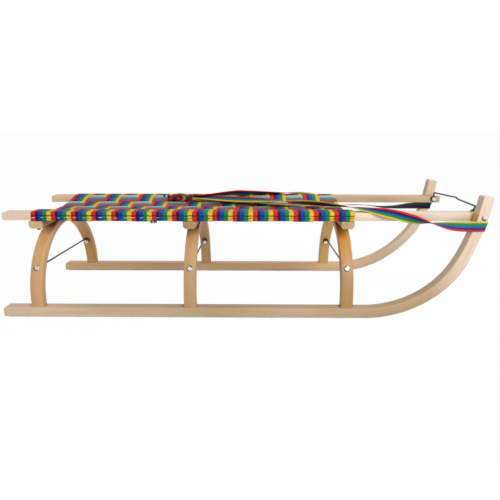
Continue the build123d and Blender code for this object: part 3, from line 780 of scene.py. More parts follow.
@dataclass(frozen=True)
class BarSection:
    """A rectangular section with rounded edges.

    Attributes:
        width: Size across, in metres.
        height: Size through, in metres.
        radius: Radius of the four edges.
        steps: Points in each rounded edge, less one.
        chamfer: Height above its lower side where chamfers start, or nothing.
    """

    width: float
    height: float
    radius: float
    steps: int = 3
    chamfer: float = 0.0

    def points(self, inset: float = 0.0) -> list[Point2]:
        """Points round the section, drawn in by an inset.

        Args:
            inset: How far each side moves in.

        Returns:
            Pairs of across and through, anticlockwise.
        """
        half_width = self.width / 2 - inset
        half_height = self.height / 2 - inset
        radius = min(max(self.radius - inset, self.radius * 0.15), half_width, half_height)
        around = []
        corners = ((1, -1, -90.0), (1, 1, 0.0), (-1, 1, 90.0), (-1, -1, 180.0))
        for across, through, start in corners:
            for step in range(self.steps + 1):
                angle = math.radians(start + 90.0 * step / self.steps)
                x = across * (half_width - radius) + radius * math.cos(angle)
                around.append((x, through * (half_height - radius) + radius * math.sin(angle)))
        if self.chamfer:
            level, corner = self.chamfer - self.height / 2, self.steps + 1
            around.insert(3 * corner, (-half_width, level))
            around.insert(corner, (half_width, level))
        return around


def end_rings(start: float, end: float, stations: Sequence[float], rounding: float,
              steps: int = 3) -> list[tuple[float, float]]:
    """Rings, as pairs of distance and inset, for a bar whose two ends are rounded in so many steps."""
    turn = [math.radians(90.0 * step / steps) for step in range(steps + 1)]
    first = [(start + rounding * (1 - math.cos(a)), rounding * (1 - math.sin(a))) for a in turn]
    final = [(end - distance + start, inset) for distance, inset in reversed(first)]
    middle = [(s, 0.0) for s in stations if start + rounding < s < end - rounding]
    return [*first, *middle, *final]


def nose_top(top: float, distance: float, length: float, drop: float) -> float:
    """How high a bar may reach at a distance from its sloping rear end."""
    return top - drop * (1 - distance / length) if distance < length else math.inf


def loft(name: str, rings: Sequence[tuple[float, float]], section: BarSection, place: Place,
         origin: Point3 = (0.0, 0.0, 0.0)) -> Object:
    """Lofts a closed bar through rings, with its own coordinates stored for the grain.

    Args:
        name: The piece's name.
        rings: Pairs of distance along the piece and inset of the section.
        section: The section to carry along.
        place: Gives the position for distance, across and through.
        origin: Added to the stored coordinates, so that no two pieces have the same grain.

    Returns:
        The new object, linked to the scene.
    """
    vertices: list[Vector] = []
    stored: list[float] = []
    for distance, inset in rings:
        for across, through in section.points(inset):
            vertices.append(place(distance, across, through))
            stored += (distance + origin[0], across + origin[1], through + origin[2])
    count = len(section.points())
    faces = ring_faces(len(rings), count)
    faces.append(tuple(reversed(range(count))))
    faces.append(tuple(range(len(vertices) - count, len(vertices))))
    mesh = new_mesh(name, vertices, [], faces)
    mesh.attributes.new("grain", "FLOAT_VECTOR", "POINT").data.foreach_set("vector", stored)
    return finished(name, mesh, Shading.CRISP)


def present(piece: Object, finish: Finish, nodes: Sequence[str] = ()) -> None:
    """Dresses a piece, lets it ride on the sled and logs the CAD nodes it stands for, which it hides."""
    if not piece.data.materials:
        piece.data.materials.append(finish.material)
    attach(piece, "root")
    if nodes:
        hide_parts(*nodes)
    faces = len(piece.data.polygons)
    LOG.info("%s: %d faces, stands for %s", piece.name, faces, ", ".join(nodes) or "nothing")


# ---------------------------------------------------------------- geometry node trees
def grown(name: str, base: Mesh, tree: bpy.types.NodeTree, values: dict[str, object],
          shading: Shading) -> Object:
    """Runs a geometry node tree on a mesh and keeps the result as a plain mesh.

    Args:
        name: The piece's name.
        base: The mesh that goes into the tree.
        tree: The tree.
        values: Values of the tree's named inputs.
        shading: How sharp an edge has to be to show.

    Returns:
        The new object.
    """
    seed = linked("seed", base)
    modifier = seed.modifiers.new("shape", "NODES")
    modifier.node_group = tree
    for item in tree.interface.items_tree:
        if item.in_out == "INPUT" and item.name in values:
            modifier[item.identifier] = values[item.name]
    mesh = evaluated_mesh(seed)
    mesh.name = name
    return finished(name, mesh, shading)


def point_mesh(points: Sequence[Vector], joined: bool, vectors: dict[str, Sequence[Vector]],
               numbers: dict[str, Sequence[float]] | None = None) -> Mesh:
    """A mesh of bare points, or joined in a line, with vector and float attributes by name."""
    edges = [(index, index + 1) for index in range(len(points) - 1)] if joined else []
    mesh = new_mesh("points", points, edges, [])
    for name, values in vectors.items():
        flat = [number for value in values for number in value]
        mesh.attributes.new(name, "FLOAT_VECTOR", "POINT").data.foreach_set("vector", flat)
    for name, values in (numbers or {}).items():
        mesh.attributes.new(name, "FLOAT", "POINT").data.foreach_set("value", list(values))
    return mesh


class ShapeTrees:
    """Geometry node trees that several pieces use, each built once."""

    def __init__(self) -> None:
        """Builds the trees."""
        self.band = self._band()
        self.row = self._row()

    @staticmethod
    def _band() -> bpy.types.NodeTree:
        """Webbing swept along a line whose points hold the direction across the band.

        Returns:
            A tree that turns a line with "wide" and "squeeze" attributes into a band with "weave".
        """
        sizes = ("Width", "Thickness", "Crown", "Weave Start", "Weave Side")
        inputs = {"Line": "Geometry", **dict.fromkeys(sizes, "Float"), "Material": "Material"}
        nodes, given, result = new_group("webbing_band", "Geometry", inputs, {"Band": "Geometry"})
        width, thickness = given.outputs["Width"], given.outputs["Thickness"]
        line = nodes.add("GeometryNodeMeshToCurve", {"Mesh": given.outputs["Line"]}).outputs[0]
        wide = nodes.attribute("wide", "FLOAT_VECTOR")
        upright = {"Curve": line, "Normal": wide}
        line = nodes.add("GeometryNodeSetCurveNormal", upright, mode="FREE").outputs[0]
        line = nodes.store(line, "along", "FLOAT", nodes.add("GeometryNodeSplineParameter").outputs["Length"])
        outline = nodes.add("GeometryNodeCurvePrimitiveQuadrilateral", {"Width": width, "Height": thickness})
        outline = nodes.add("GeometryNodeSubdivideCurve", {"Curve": outline.outputs[0], "Cuts": 3}).outputs[0]
        across, through, _ = nodes.axes(nodes.add("GeometryNodeInputPosition").outputs[0])
        outline = nodes.store(outline, "across", "FLOAT", across)
        share = nodes.over(across, nodes.times(width, 0.5))
        level = nodes.over(through, nodes.times(thickness, 0.5))
        crown = nodes.times(given.outputs["Crown"], nodes.rounded(share))
        on_edge = nodes.math("GREATER_THAN", nodes.math("ABSOLUTE", share), 0.99)
        swell = nodes.times(nodes.math("SIGN", share), nodes.times(thickness, 0.3))
        swell = nodes.times(nodes.times(swell, on_edge), nodes.rounded(level))
        offset = nodes.add("ShaderNodeCombineXYZ", {0: swell, 1: crown}).outputs[0]
        outline = nodes.add("GeometryNodeSetPosition", {"Geometry": outline, "Offset": offset}).outputs[0]
        squeeze = nodes.attribute("squeeze", "FLOAT")
        swept = {"Curve": line, "Profile Curve": outline, "Scale": squeeze, "Fill Caps": True}
        band = nodes.add("GeometryNodeCurveToMesh", swept).outputs[0]
        side = nodes.plus(nodes.attribute("across", "FLOAT"), given.outputs["Weave Side"])
        start = nodes.plus(nodes.attribute("along", "FLOAT"), given.outputs["Weave Start"])
        weave = nodes.add("ShaderNodeCombineXYZ", {0: side, 1: start}).outputs[0]
        band = nodes.store(band, "weave", "FLOAT_VECTOR", weave)
        nodes.dress(band, given, result)
        return nodes.tree

    @staticmethod
    def _row() -> bpy.types.NodeTree:
        """Copies of a small part on every point of a mesh, turned by the point's own axes.

        Returns:
            A tree that reads "along" and "outward" directions from the points.
        """
        inputs = {"Points": "Geometry", "Part": "Object", "Smallest": "Float", "Largest": "Float"}
        inputs |= {"Seed": "Int", "Material": "Material"}
        nodes, given, result = new_group("row_of_parts", "Geometry", inputs, {"Row": "Geometry"})
        part = nodes.add("GeometryNodeObjectInfo", {"Object": given.outputs["Part"]}).outputs["Geometry"]
        limits = {2: given.outputs["Smallest"], 3: given.outputs["Largest"], "Seed": given.outputs["Seed"]}
        size = nodes.add("FunctionNodeRandomValue", limits, data_type="FLOAT").outputs[1]
        axes = {0: nodes.attribute("outward", "FLOAT_VECTOR"), 1: nodes.attribute("along", "FLOAT_VECTOR")}
        turn = nodes.add("FunctionNodeAxesToRotation", axes, primary_axis="Z", secondary_axis="X").outputs[0]
        copies = {"Points": given.outputs["Points"], "Instance": part, "Rotation": turn, "Scale": size}
        nodes.dress(nodes.add("GeometryNodeInstanceOnPoints", copies).outputs[0], given, result)
        return nodes.tree

    def place_row(self, name: str, part: Object, places: Sequence[PartPlace], finish: Finish,
                  sizes: tuple[float, float] = (1.0, 1.0), seed: int = 7,
                  shading: Shading = Shading.CRISP) -> Object:
        """One piece of copies of a part, which is then removed.

        Args:
            name: The piece's name.
            part: The part.
            places: Point, direction along and direction outward of each copy.
            finish: The finish.
            sizes: Smallest and largest size of a copy.
            seed: Seed of the sizes.
            shading: How sharp an edge has to be to show.

        Returns:
            The piece.
        """
        points, along, outward = (list(column) for column in zip(*places))
        base = point_mesh(points, False, {"along": along, "outward": outward})
        values = {"Part": part, "Smallest": sizes[0], "Largest": sizes[1], "Seed": seed}
        values["Material"] = finish.material
        piece = grown(name, base, self.row, values, shading)
        bpy.data.objects.remove(part)
        return piece


@dataclass(frozen=True)
class Band:
    """A kind of webbing.

    Attributes:
        width: Its width, in metres.
        thickness: Its thickness.
        finish: Its finish.
        crown: How far its middle stands out.
    """

    width: float
    thickness: float
    finish: Finish
    crown: float = 0.0

    def along(self, name: str, tree: bpy.types.NodeTree, line: Sequence[Vector], wides: Sequence[Vector],
              start: float = 0.0, squeeze: Sequence[float] | None = None, side: float = 0.0) -> Object:
        """Lays the webbing along a line.

        Args:
            name: The piece's name.
            tree: The band's geometry node tree.
            line: Points of its middle.
            wides: The direction across the band at each point.
            start: Added to the distance in the weave's coordinates.
            squeeze: How much narrower it is at each point.
            side: Added to the distance across in the weave's coordinates, for webbing that is folded.

        Returns:
            The piece.
        """
        across = []
        for index, wide in enumerate(wides):
            tangent = direction(line, index)
            across.append((wide - tangent * wide.dot(tangent)).normalized())
        base = point_mesh(line, True, {"wide": across}, {"squeeze": squeeze or [1.0] * len(line)})
        values = {
            "Width": self.width,
            "Thickness": self.thickness,
            "Crown": self.crown,
            "Weave Start": start,
            "Weave Side": side,
            "Material": self.finish.material,
        }
        return grown(name, base, tree, values, Shading.SOFT)


def thread_part(length: float, radius: float) -> Object:
    """A short raised thread, thin at both ends, that lies along X and stands up along Z."""
    around, steps = 6, 4
    vertices = []
    for step in range(steps + 1):
        share = step / steps * 2 - 1
        size = radius * (0.35 + 0.65 * math.sqrt(max(0.0, 1 - share**4)))
        rise = radius * (0.9 - 1.3 * share**4)
        for turn in range(around):
            angle = math.tau * turn / around
            vertices.append((share * length / 2, size * math.cos(angle), rise + size * math.sin(angle)))
    faces = ring_faces(steps + 1, around)
    faces += [tuple(range(around)), tuple(reversed(range(steps * around, (steps + 1) * around)))]
    return bpy.data.objects.new("thread", new_mesh("thread", vertices, [], faces))


def disc_part(radius: float, thickness: float, rise: float, around: int) -> Object:
    """A bevelled disc on XY.

    Args:
        radius: Its radius.
        thickness: Its thickness.
        rise: How far its middle stands above its rim.
        around: Points round it.

    Returns:
        A hidden helper object for a geometry node tree.
    """
    profile = ((0.55, thickness + rise * 0.8), (0.94, thickness), (1.0, thickness * 0.5), (1.0, 0.0))
    turns = [math.tau * step / around for step in range(around)]
    vertices = [(0.0, 0.0, thickness + rise)]
    for share, height in profile:
        reach = radius * share
        vertices += [(reach * math.cos(angle), reach * math.sin(angle), height) for angle in turns]
    faces: list[tuple[int, ...]] = [(0, 1 + step, 1 + (step + 1) % around) for step in range(around)]
    faces += ring_faces(len(profile), around, 1)
    faces.append(tuple(reversed(range(len(vertices) - around, len(vertices)))))
    return bpy.data.objects.new("disc", new_mesh("disc", vertices, [], faces))


# ---------------------------------------------------------------- sizes read from the frame
@dataclass(frozen=True)
class SledSizes:
    """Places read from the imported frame, in metres."""

    rear: float
    half_width: float
    runner_top: float
    rail_rear: float
    rail_front: float
    rail_top: float
    rail_bottom: float
    rail_outer: float
    rail_inner: float
    crossbar_top: float
    crossbar_bottom: float

    @classmethod
    def read(cls) -> SledSizes:
        """Reads the places from the frame's nodes."""
        runner_low, runner_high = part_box("runner_left")
        rail_low, rail_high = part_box("seat_rail_left")
        bar_low, bar_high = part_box("crossbar_middle")
        arch_low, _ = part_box("arch_middle")
        return cls(
            rear=runner_low.x,
            half_width=runner_high.y,
            runner_top=arch_low.z,
            rail_rear=rail_low.x,
            rail_front=rail_high.x,
            rail_top=rail_high.z,
            rail_bottom=rail_low.z,
            rail_outer=rail_high.y,
            rail_inner=rail_low.y,
            crossbar_top=bar_high.z,
            crossbar_bottom=bar_low.z,
        )


# ---------------------------------------------------------------- runners
@dataclass
class Runners:
    """The two bent runners with their horns, and the steel shoes under them."""

    sizes: SledSizes
    finishes: Finishes
    width: float = 24.0 * MM
    height: float = 23.5 * MM
    edge: float = 1.8 * MM
    sole_length: float = 838.0 * MM
    bend_radius: float = 259.0 * MM
    bend_angle: float = 70.5
    ease_radius: float = 396.0 * MM
    ease_angle: float = 10.7
    tip_length: float = 30.0 * MM
    tip_round: float = 5.0 * MM
    end_round: float = 3.0 * MM
    nose_length: float = 6.0 * MM
    nose_height: float = 5.0 * MM
    sole_step: float = 40.0 * MM
    bend_step: float = 6.0 * MM
    horn_lean: float = 17.0 * MM
    lean_start: float = 32.0 * MM
    lean_end_drop: float = 6.0 * MM
    shoe_thickness: float = 1.5 * MM
    shoe_width: float = 20.0 * MM
    shoe_edge: float = 0.5 * MM
    shoe_inset: float = 12.0 * MM
    shoe_end_round: float = 0.4 * MM
    shoe_steps: tuple[float, float, float] = (30.0 * MM, 60.0 * MM, 8.0 * MM)
    shoe_wrap: float = 62.0

    @property
    def middle(self) -> float:
        """Y of a runner's middle on the straight sole."""
        return self.sizes.half_width - self.width / 2

    @property
    def depth(self) -> float:
        """Height of the wood's middle above the ground on the straight sole."""
        return self.shoe_thickness + self.height / 2

    def lean(self, height: float) -> float:
        """How far inward a horn stands at this height."""
        low = self.lean_start
        high = self.sizes.rail_bottom - self.lean_end_drop
        if height <= low:
            return 0.0
        if height >= high:
            return self.horn_lean
        middle = (low + high) / 2
        below, above = 0.0, 1.0
        for _ in range(30):
            t = (below + above) / 2
            level = low * (1 - t) ** 3 + 3 * middle * t * (1 - t) + high * t**3
            below, above = (t, above) if level < height else (below, t)
        return self.horn_lean * (3 * t * t - 2 * t**3)

    def path(self, distance: float, depth: float) -> Point3:
        """A point on a line that follows the bend.

        Args:
            distance: Length along the line from the sled's rear end.
            depth: Height of the line above the ground on the straight sole.

        Returns:
            X, Z and the slope in radians.
        """
        x = self.sizes.rear + self.sole_length
        if distance <= self.sole_length:
            return self.sizes.rear + distance, depth, 0.0
        radius = self.bend_radius - depth
        turn = math.radians(self.bend_angle)
        rest = distance - self.sole_length
        if rest <= radius * turn:
            angle = rest / radius
            return x + radius * math.sin(angle), self.bend_radius - radius * math.cos(angle), angle
        x += radius * math.sin(turn)
        z = self.bend_radius - radius * math.cos(turn)
        rest -= radius * turn
        easy = self.ease_radius - depth
        eased = math.radians(self.ease_angle)
        angle = turn + min(rest / easy, eased)
        x += easy * (math.sin(angle) - math.sin(turn))
        z += easy * (math.cos(turn) - math.cos(angle))
        rest = max(0.0, rest - easy * eased)
        return x + rest * math.cos(angle), z + rest * math.sin(angle), angle

    def spot(self, side: Side, distance: float, across: float, through: float, depth: float,
             ceiling: float = math.inf) -> Vector:
        """A point, not above a ceiling, of a bar that follows the bend and leans with the horn."""
        x, z, slope = self.path(distance, depth)
        z = min(z + through * math.cos(slope), ceiling)
        return Vector((x - through * math.sin(slope), side.value * (self.middle + across - self.lean(z)), z))

    def length(self) -> float:
        """Whole length of the wood's middle line, tip included."""
        return (
            self.sole_length
            + (self.bend_radius - self.depth) * math.radians(self.bend_angle)
            + (self.ease_radius - self.depth) * math.radians(self.ease_angle)
            + self.tip_length
            + self.tip_round
        )

    def build_runner(self, side: Side) -> Object:
        """One wooden runner, with its grain along the bend."""
        end, top = self.length(), self.depth + self.height / 2

        def mapped(distance: float, across: float, through: float) -> Vector:
            """A point of the bar in the sled's frame."""
            near_tip = distance - (end - self.tip_round)
            if near_tip > 0:
                limit = self.height / 2 - self.tip_round
                limit += math.sqrt(max(self.tip_round**2 - near_tip**2, 0.0))
                through = max(-limit, min(limit, through))
            ceiling = nose_top(top, distance, self.nose_length, self.nose_height)
            return self.spot(side, distance, across, through, self.depth, ceiling)

        stations = [self.nose_length, *spread(self.sole_step, self.sole_length, self.sole_step)]
        stations += spread(self.sole_length, end - self.bend_step, self.bend_step)
        rings = end_rings(0.0, end, stations, self.end_round)
        rings += [(end - self.tip_round * share, 0.0) for share in (1.0, 0.75, 0.5)]
        rings.sort(key=lambda ring: ring[0])
        section = BarSection(self.width, self.height, self.edge)
        origin = (0.37 * side.value, 0.21 * side.value, 0.05)
        return loft(f"runner_wood_{side.label}", rings, section, mapped, origin)

    def build_shoe(self, side: Side) -> Object:
        """One steel strip with rounded edges."""
        depth = self.shoe_thickness / 2
        end = self.sole_length + (self.bend_radius - depth) * math.radians(self.shoe_wrap)

        def mapped(distance: float, across: float, through: float) -> Vector:
            """A point of the bar in the sled's frame."""
            return self.spot(side, distance, across, through, depth)

        first, sole_step, bend_step = self.shoe_steps
        stations = spread(first, self.sole_length, sole_step) + spread(self.sole_length, end, bend_step)
        rings = end_rings(self.shoe_inset, end, stations, self.shoe_end_round, 2)
        section = BarSection(self.shoe_width, self.shoe_thickness, self.shoe_edge, 2)
        return loft(f"shoe_strip_{side.label}", rings, section, mapped)

    def make(self) -> None:
        """Builds and dresses both runners and both shoes."""
        for side in Side:
            wood, shoe = self.build_runner(side), self.build_shoe(side)
            present(wood, self.finishes.runners[side], [f"runner_{side.label}"])
            present(shoe, self.finishes.shoe, [f"runner_shoe_{side.label}"])


# ---------------------------------------------------------------- rails
@dataclass
class SeatRails:
    """The two straight rails inside the horns."""

    sizes: SledSizes
    finishes: Finishes
    edge: float = 1.8 * MM
    end_round: float = 3.2 * MM
    nose_length: float = 5.0 * MM
    nose_height: float = 3.0 * MM
    step: float = 40.0 * MM

    def make(self) -> None:
        """Builds and dresses both rails."""
        s = self.sizes
        section = BarSection(s.rail_outer - s.rail_inner, s.rail_top - s.rail_bottom, self.edge)
        middle_y = (s.rail_outer + s.rail_inner) / 2
        middle_z = (s.rail_top + s.rail_bottom) / 2
        length = s.rail_front - s.rail_rear
        stations = [self.nose_length, *spread(self.step, length, self.step)]
        rings = end_rings(0.0, length, stations, self.end_round)
        for side in Side:

            def mapped(distance: float, across: float, through: float, side: Side = side) -> Vector:
                """A point of the bar in the sled's frame."""
                ceiling = nose_top(s.rail_top, distance, self.nose_length, self.nose_height)
                y, z = side.value * (middle_y + across), min(middle_z + through, ceiling)
                return Vector((s.rail_rear + distance, y, z))

            origin = (1.3 * side.value, 0.4, 0.1 * side.value)
            piece = loft(f"rail_wood_{side.label}", rings, section, mapped, origin)
            present(piece, self.finishes.rails[side], [f"seat_rail_{side.label}"])


# ---------------------------------------------------------------- arches and crossbars
@dataclass
class Arches:
    """The three bent hoops and the crossbars on top of them."""

    sizes: SledSizes
    finishes: Finishes
    width: float = 28.0 * MM
    thickness: float = 18.5 * MM
    outer_radius: float = 179.0 * MM
    centre_height: float = 31.0 * MM
    edge: float = 2.0 * MM
    step: float = 5.0 * MM
    bar_width: float = 30.0 * MM
    bar_edge: float = 1.2 * MM
    bar_chamfer: float = 5.0 * MM
    bar_end_round: float = 1.0 * MM
    bar_step: float = 40.0 * MM
    places: tuple[str, ...] = ("rear", "middle", "front")

    def middle_x(self, name: str) -> float:
        """X of the middle of an arch."""
        low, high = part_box(f"arch_{name}")
        return (low.x + high.x) / 2

    def build_arch(self, name: str, index: int) -> Object:
        """One hoop, from its right foot over the crown to its left foot."""
        base = self.sizes.runner_top
        foot = self.centre_height - base
        radius = self.outer_radius - self.thickness / 2
        x_middle = self.middle_x(name)
        total = 2 * foot + math.pi * radius

        def mapped(distance: float, across: float, through: float) -> Vector:
            """A point of the bar in the sled's frame."""
            reach = radius + through
            if distance < foot:
                y, z = -reach, base + distance
            elif distance > total - foot:
                y, z = reach, base + total - distance
            else:
                angle = (distance - foot) / radius
                y, z = -reach * math.cos(angle), self.centre_height + reach * math.sin(angle)
            return Vector((x_middle + across, y, min(z, self.sizes.crossbar_bottom)))

        rings = [(distance, 0.0) for distance in spread(0.0, total, self.step)]
        section = BarSection(self.width, self.thickness, self.edge)
        return loft(f"arch_wood_{name}", rings, section, mapped, (0.9 * index + 0.2, 0.3 * index, 0.0))

    def build_crossbar(self, name: str, index: int) -> Object:
        """One crossbar, its two lower edges chamfered."""
        s = self.sizes
        x_middle = self.middle_x(name)
        height = s.crossbar_top - s.crossbar_bottom
        middle_z = (s.crossbar_top + s.crossbar_bottom) / 2

        def mapped(distance: float, across: float, through: float) -> Vector:
            """A point of the bar in the sled's frame."""
            limit = self.bar_width / 2 - max(0.0, self.bar_chamfer - (through + height / 2))
            across = max(-limit, min(limit, across))
            return Vector((x_middle + across, distance, middle_z + through))

        bar = BarSection(self.bar_width, height, self.bar_edge, 2, self.bar_chamfer)
        reach = s.rail_outer
        rings = end_rings(-reach, reach, spread(-reach, reach, self.bar_step), self.bar_end_round, 2)
        return loft(f"crossbar_wood_{name}", rings, bar, mapped, (2.2 + 0.6 * index, 0.1 * index, 0.3))

    def make(self) -> None:
        """Builds and dresses the hoops and the crossbars."""
        for index, name in enumerate(self.places):
            arch, bar = self.build_arch(name, index), self.build_crossbar(name, index)
            present(arch, self.finishes.arches[name], [f"arch_{name}"])
            present(bar, self.finishes.crossbars[name], [f"crossbar_{name}"])


# ---------------------------------------------------------------- woven seat
@dataclass
class WovenSeat:
    """Sixteen bands across the seat and five along it, woven through each other."""

    sizes: SledSizes
    finishes: Finishes
    trees: ShapeTrees
    thickness: float = 1.4 * MM
    clearance: float = 0.3 * MM
    cross_count: int = 16
    cross_width: float = 45.0 * MM
    long_count: int = 5
    long_width: float = 40.0 * MM
    long_crown: float = 0.4 * MM
    sag: float = 17.0 * MM
    lift: float = 1.5 * MM
    corner: float = 3.2 * MM
    flange: float = 3.0 * MM
    top_reach: float = 4.0 * MM
    wrap_step: float = 1.2 * MM
    cross_step: float = 2.4 * MM
    long_step: float = 2.6 * MM
    droop: float = 0.8 * MM
    wave_flatness: float = 2.2
    woven_squeeze: float = 0.95
    squeeze_reach: float = 8.0 * MM
    squeeze_depth: float = 4.0 * MM
    hem_height: float = 12.4 * MM
    hem_swell: float = 0.9 * MM
    hem_step: float = 0.3 * MM
    stitch_margin: float = 5.0 * MM
    stitch_pitch: float = 19.0 * MM
    stitch_level: float = 7.9 * MM
    stitch_drift: tuple[float, float] = (1.6 * MM, 0.5 * MM)
    stitch_turn: float = 0.09
    stitch_size: tuple[float, float] = (9.0 * MM, 0.5 * MM)
    pale_stitches: int = 16

    def __post_init__(self) -> None:
        """Works out the seat's own sizes and places."""
        self.first_x = self.band_middle(0)
        self.cross_pitch = (self.band_middle(self.cross_count - 1) - self.first_x) / (self.cross_count - 1)
        offset = self.clearance + self.thickness / 2
        self.half = self.sizes.rail_inner - offset
        self.pitch = 2 * self.half / self.long_count
        self.top = self.sizes.rail_top + offset
        self.under = self.sizes.rail_bottom - offset
        self.side = self.sizes.rail_outer + offset
        self.cross_band = Band(self.cross_width, self.thickness, self.finishes.cross_web)
        self.long_band = Band(self.long_width, self.thickness, self.finishes.long_web, self.long_crown)

    @staticmethod
    def band_middle(index: int) -> float:
        """X of the middle of a cross band in the frame."""
        low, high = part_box(f"cross_band_{index + 1:02d}")
        return (low.x + high.x) / 2

    def cross_x(self, index: int) -> float:
        """X of a cross band's middle."""
        return self.first_x + index * self.cross_pitch

    def mean(self, y: float) -> float:
        """Height of the seat's mean surface at this Y."""
        share = min(1.0, abs(y) / self.half)
        return self.top - self.sag * (1 - share * share)

    def wave(self, phase: float) -> float:
        """A weave's over and under: nearly flat on top, steep between."""
        return math.tanh(self.wave_flatness * math.sin(phase)) / math.tanh(self.wave_flatness)

    def hem(self, y: float, z: float) -> float:
        """How far the doubled hem stands out from the rail's side at this point."""
        level = (z - self.under - self.hem_height) / self.hem_step
        below = 1.0 / (1.0 + math.exp(max(-40.0, min(40.0, 4.0 * level))))
        return self.hem_swell * below * clamped((y - self.side + self.corner) / self.corner)

    def outside(self, y: float, z: float) -> float:
        """One at the lower edge of the rail's outer face, nothing at its top and inside."""
        low = clamped((self.top - z) / (self.top - self.under))
        return low * clamped((y - self.sizes.rail_inner) / (self.side - self.sizes.rail_inner))

    def cross_line(self, index: int) -> list[Vector]:
        """The line of a cross band: round one rail, through the weave and round the other."""
        wrap = [
            (self.half, self.top - self.thickness - self.flange),
            (self.half, self.under),
            (self.side, self.under),
            (self.side, self.top),
            (self.sizes.rail_inner + self.top_reach, self.top),
        ]
        rounded = dense(round_corners(wrap, self.corner, 5), self.wrap_step)
        droop = self.droop * math.sin(index * 2.3)
        rounded = [(y + self.hem(y, z), z + droop * self.outside(y, z)) for y, z in rounded]
        sign = 1.0 if index % 2 == 0 else -1.0
        woven = []
        for y in spread(-self.half, self.half, self.cross_step):
            phase = math.pi * (y + self.half) / self.pitch
            woven.append((y, self.mean(y) + sign * self.lift * self.wave(phase)))
        middle = self.cross_x(index)
        line = [*[(-y, z) for y, z in rounded], *woven, *reversed(rounded)]
        return [Vector((middle, y, z)) for y, z in line]

    def build_cross(self, index: int) -> tuple[Object, float]:
        """One band across the seat, counted from the rear, and its length."""
        line = self.cross_line(index)
        wides = [Vector((1.0, 0.0, 0.0))] * len(line)
        squeeze = []
        for point in line:
            on_seat = point.z > self.mean(point.y) - self.squeeze_depth
            woven = clamped((self.half - abs(point.y)) / self.squeeze_reach) * on_seat
            squeeze.append(1.0 - (1.0 - self.woven_squeeze) * woven)
        name = f"cross_webbing_{index + 1:02d}"
        piece = self.cross_band.along(name, self.trees.band, line, wides, 0.13 * index, squeeze)
        return piece, line_length(line)

    def build_long(self, index: int) -> tuple[Object, float]:
        """One band along the seat, counted from the right, and its length."""
        low = -self.half + index * self.pitch
        middle, high = low + self.pitch / 2, low + self.pitch
        slope = math.atan2(self.mean(high) - self.mean(low), self.pitch)
        start = self.cross_x(0) - self.cross_pitch / 2
        end = self.cross_x(self.cross_count - 1) + self.cross_pitch / 2
        sign = -1.0 if index % 2 == 0 else 1.0
        line = []
        for x in spread(start, end, self.long_step):
            height = sign * self.lift * self.wave(math.pi * (x - start) / self.cross_pitch)
            z = self.mean(middle) + height * math.cos(slope)
            line.append(Vector((x, middle - height * math.sin(slope), z)))
        wides = [Vector((0.0, math.cos(slope), math.sin(slope)))] * len(line)
        piece = self.long_band.along(f"long_webbing_{index + 1}", self.trees.band, line, wides, 0.31 * index)
        return piece, line_length(line)

    def make_stitches(self, name: str, finish: Finish, numbers: range) -> None:
        """Builds and dresses the numbered stitches through the hems on both rails' outer faces."""
        start = self.cross_x(0) - self.cross_width / 2 + self.stitch_margin
        drift, rise = self.stitch_drift
        places = []
        for side in Side:
            for number in numbers:
                x = start + number * self.stitch_pitch + drift * math.sin(number * 2.4)
                z = self.under + self.stitch_level + rise * math.sin(number * 1.7)
                y = self.side + self.hem(self.side, z) + self.thickness / 2
                turn = self.stitch_turn * math.sin(number)
                along = Vector((math.cos(turn), 0.0, math.sin(turn)))
                places.append((Vector((x, side.value * y, z)), along, Vector((0.0, float(side.value), 0.0))))
        part = thread_part(*self.stitch_size)
        row = self.trees.place_row(name, part, places, finish, (0.8, 1.15), 4, Shading.SOFT)
        present(row, finish)

    def make(self) -> None:
        """Builds and dresses every band, then the stitches."""
        for index in range(self.cross_count):
            piece, length = self.build_cross(index)
            present(piece, self.finishes.cross_web, [f"cross_band_{index + 1:02d}"])
        for index in range(self.long_count):
            piece, length = self.build_long(index)
            present(piece, self.finishes.long_web, [f"long_band_{index + 1}"])
        start = self.cross_x(0) - self.cross_width / 2 + self.stitch_margin
        end = self.cross_x(self.cross_count - 1) + self.cross_width / 2 - self.stitch_margin
        count = int((end - start) / self.stitch_pitch) + 1
        self.make_stitches("stitches_pale", self.finishes.thread, range(self.pale_stitches))
        self.make_stitches("stitches_navy", self.finishes.dark_thread, range(self.pale_stitches, count))


# ---------------------------------------------------------------- pull strap
@dataclass(frozen=True)
class StrapRoute:
    """One free run of the strap.

    Attributes:
        name: The piece's name.
        node: The CAD node that it stands for.
        points: Its control points, in metres.
        leans: How far its first stripe's edge leans from upright at each point, in degrees.
        far_end: What is at its far end; not used.
        squeeze: How much narrower it is at its start, and one and a half, four and six points on.
    """

    name: str
    node: str
    points: tuple[tuple[float, float, float], ...]
    leans: tuple[float, ...]
    far_end: str
    squeeze: tuple[float, float, float, float] = (1.0, 1.0, 1.0, 1.0)


RIGHT_BRANCH = StrapRoute(
    name="strap_branch_right",
    node="pull_strap_right",
    points=(
        (0.5098, -0.1649, 0.2149), (0.4838, -0.1649, 0.2149), (0.4574, -0.1571, 0.2152),
        (0.4253, -0.1543, 0.2192), (0.3812, -0.1529, 0.2287), (0.3370, -0.1473, 0.2397),
        (0.2928, -0.1307, 0.2449), (0.2519, -0.1056, 0.2480), (0.2099, -0.0778, 0.2487),
        (0.1646, -0.0528, 0.2482), (0.1215, -0.0306, 0.2462), (0.0663, -0.0028, 0.2462),
        (0.0110, 0.0195, 0.2442), (-0.0442, 0.0389, 0.2429), (-0.1121, 0.0627, 0.2433),
        (-0.1359, 0.0660, 0.2433),
    ),
    leans=(182, 198, 236, 278, 346, 385, 432, 462, 482, 486, 468, 440, 424, 424, 435, 437),
    far_end="knot",
    squeeze=(0.92, 0.90, 0.90, 0.96),
)
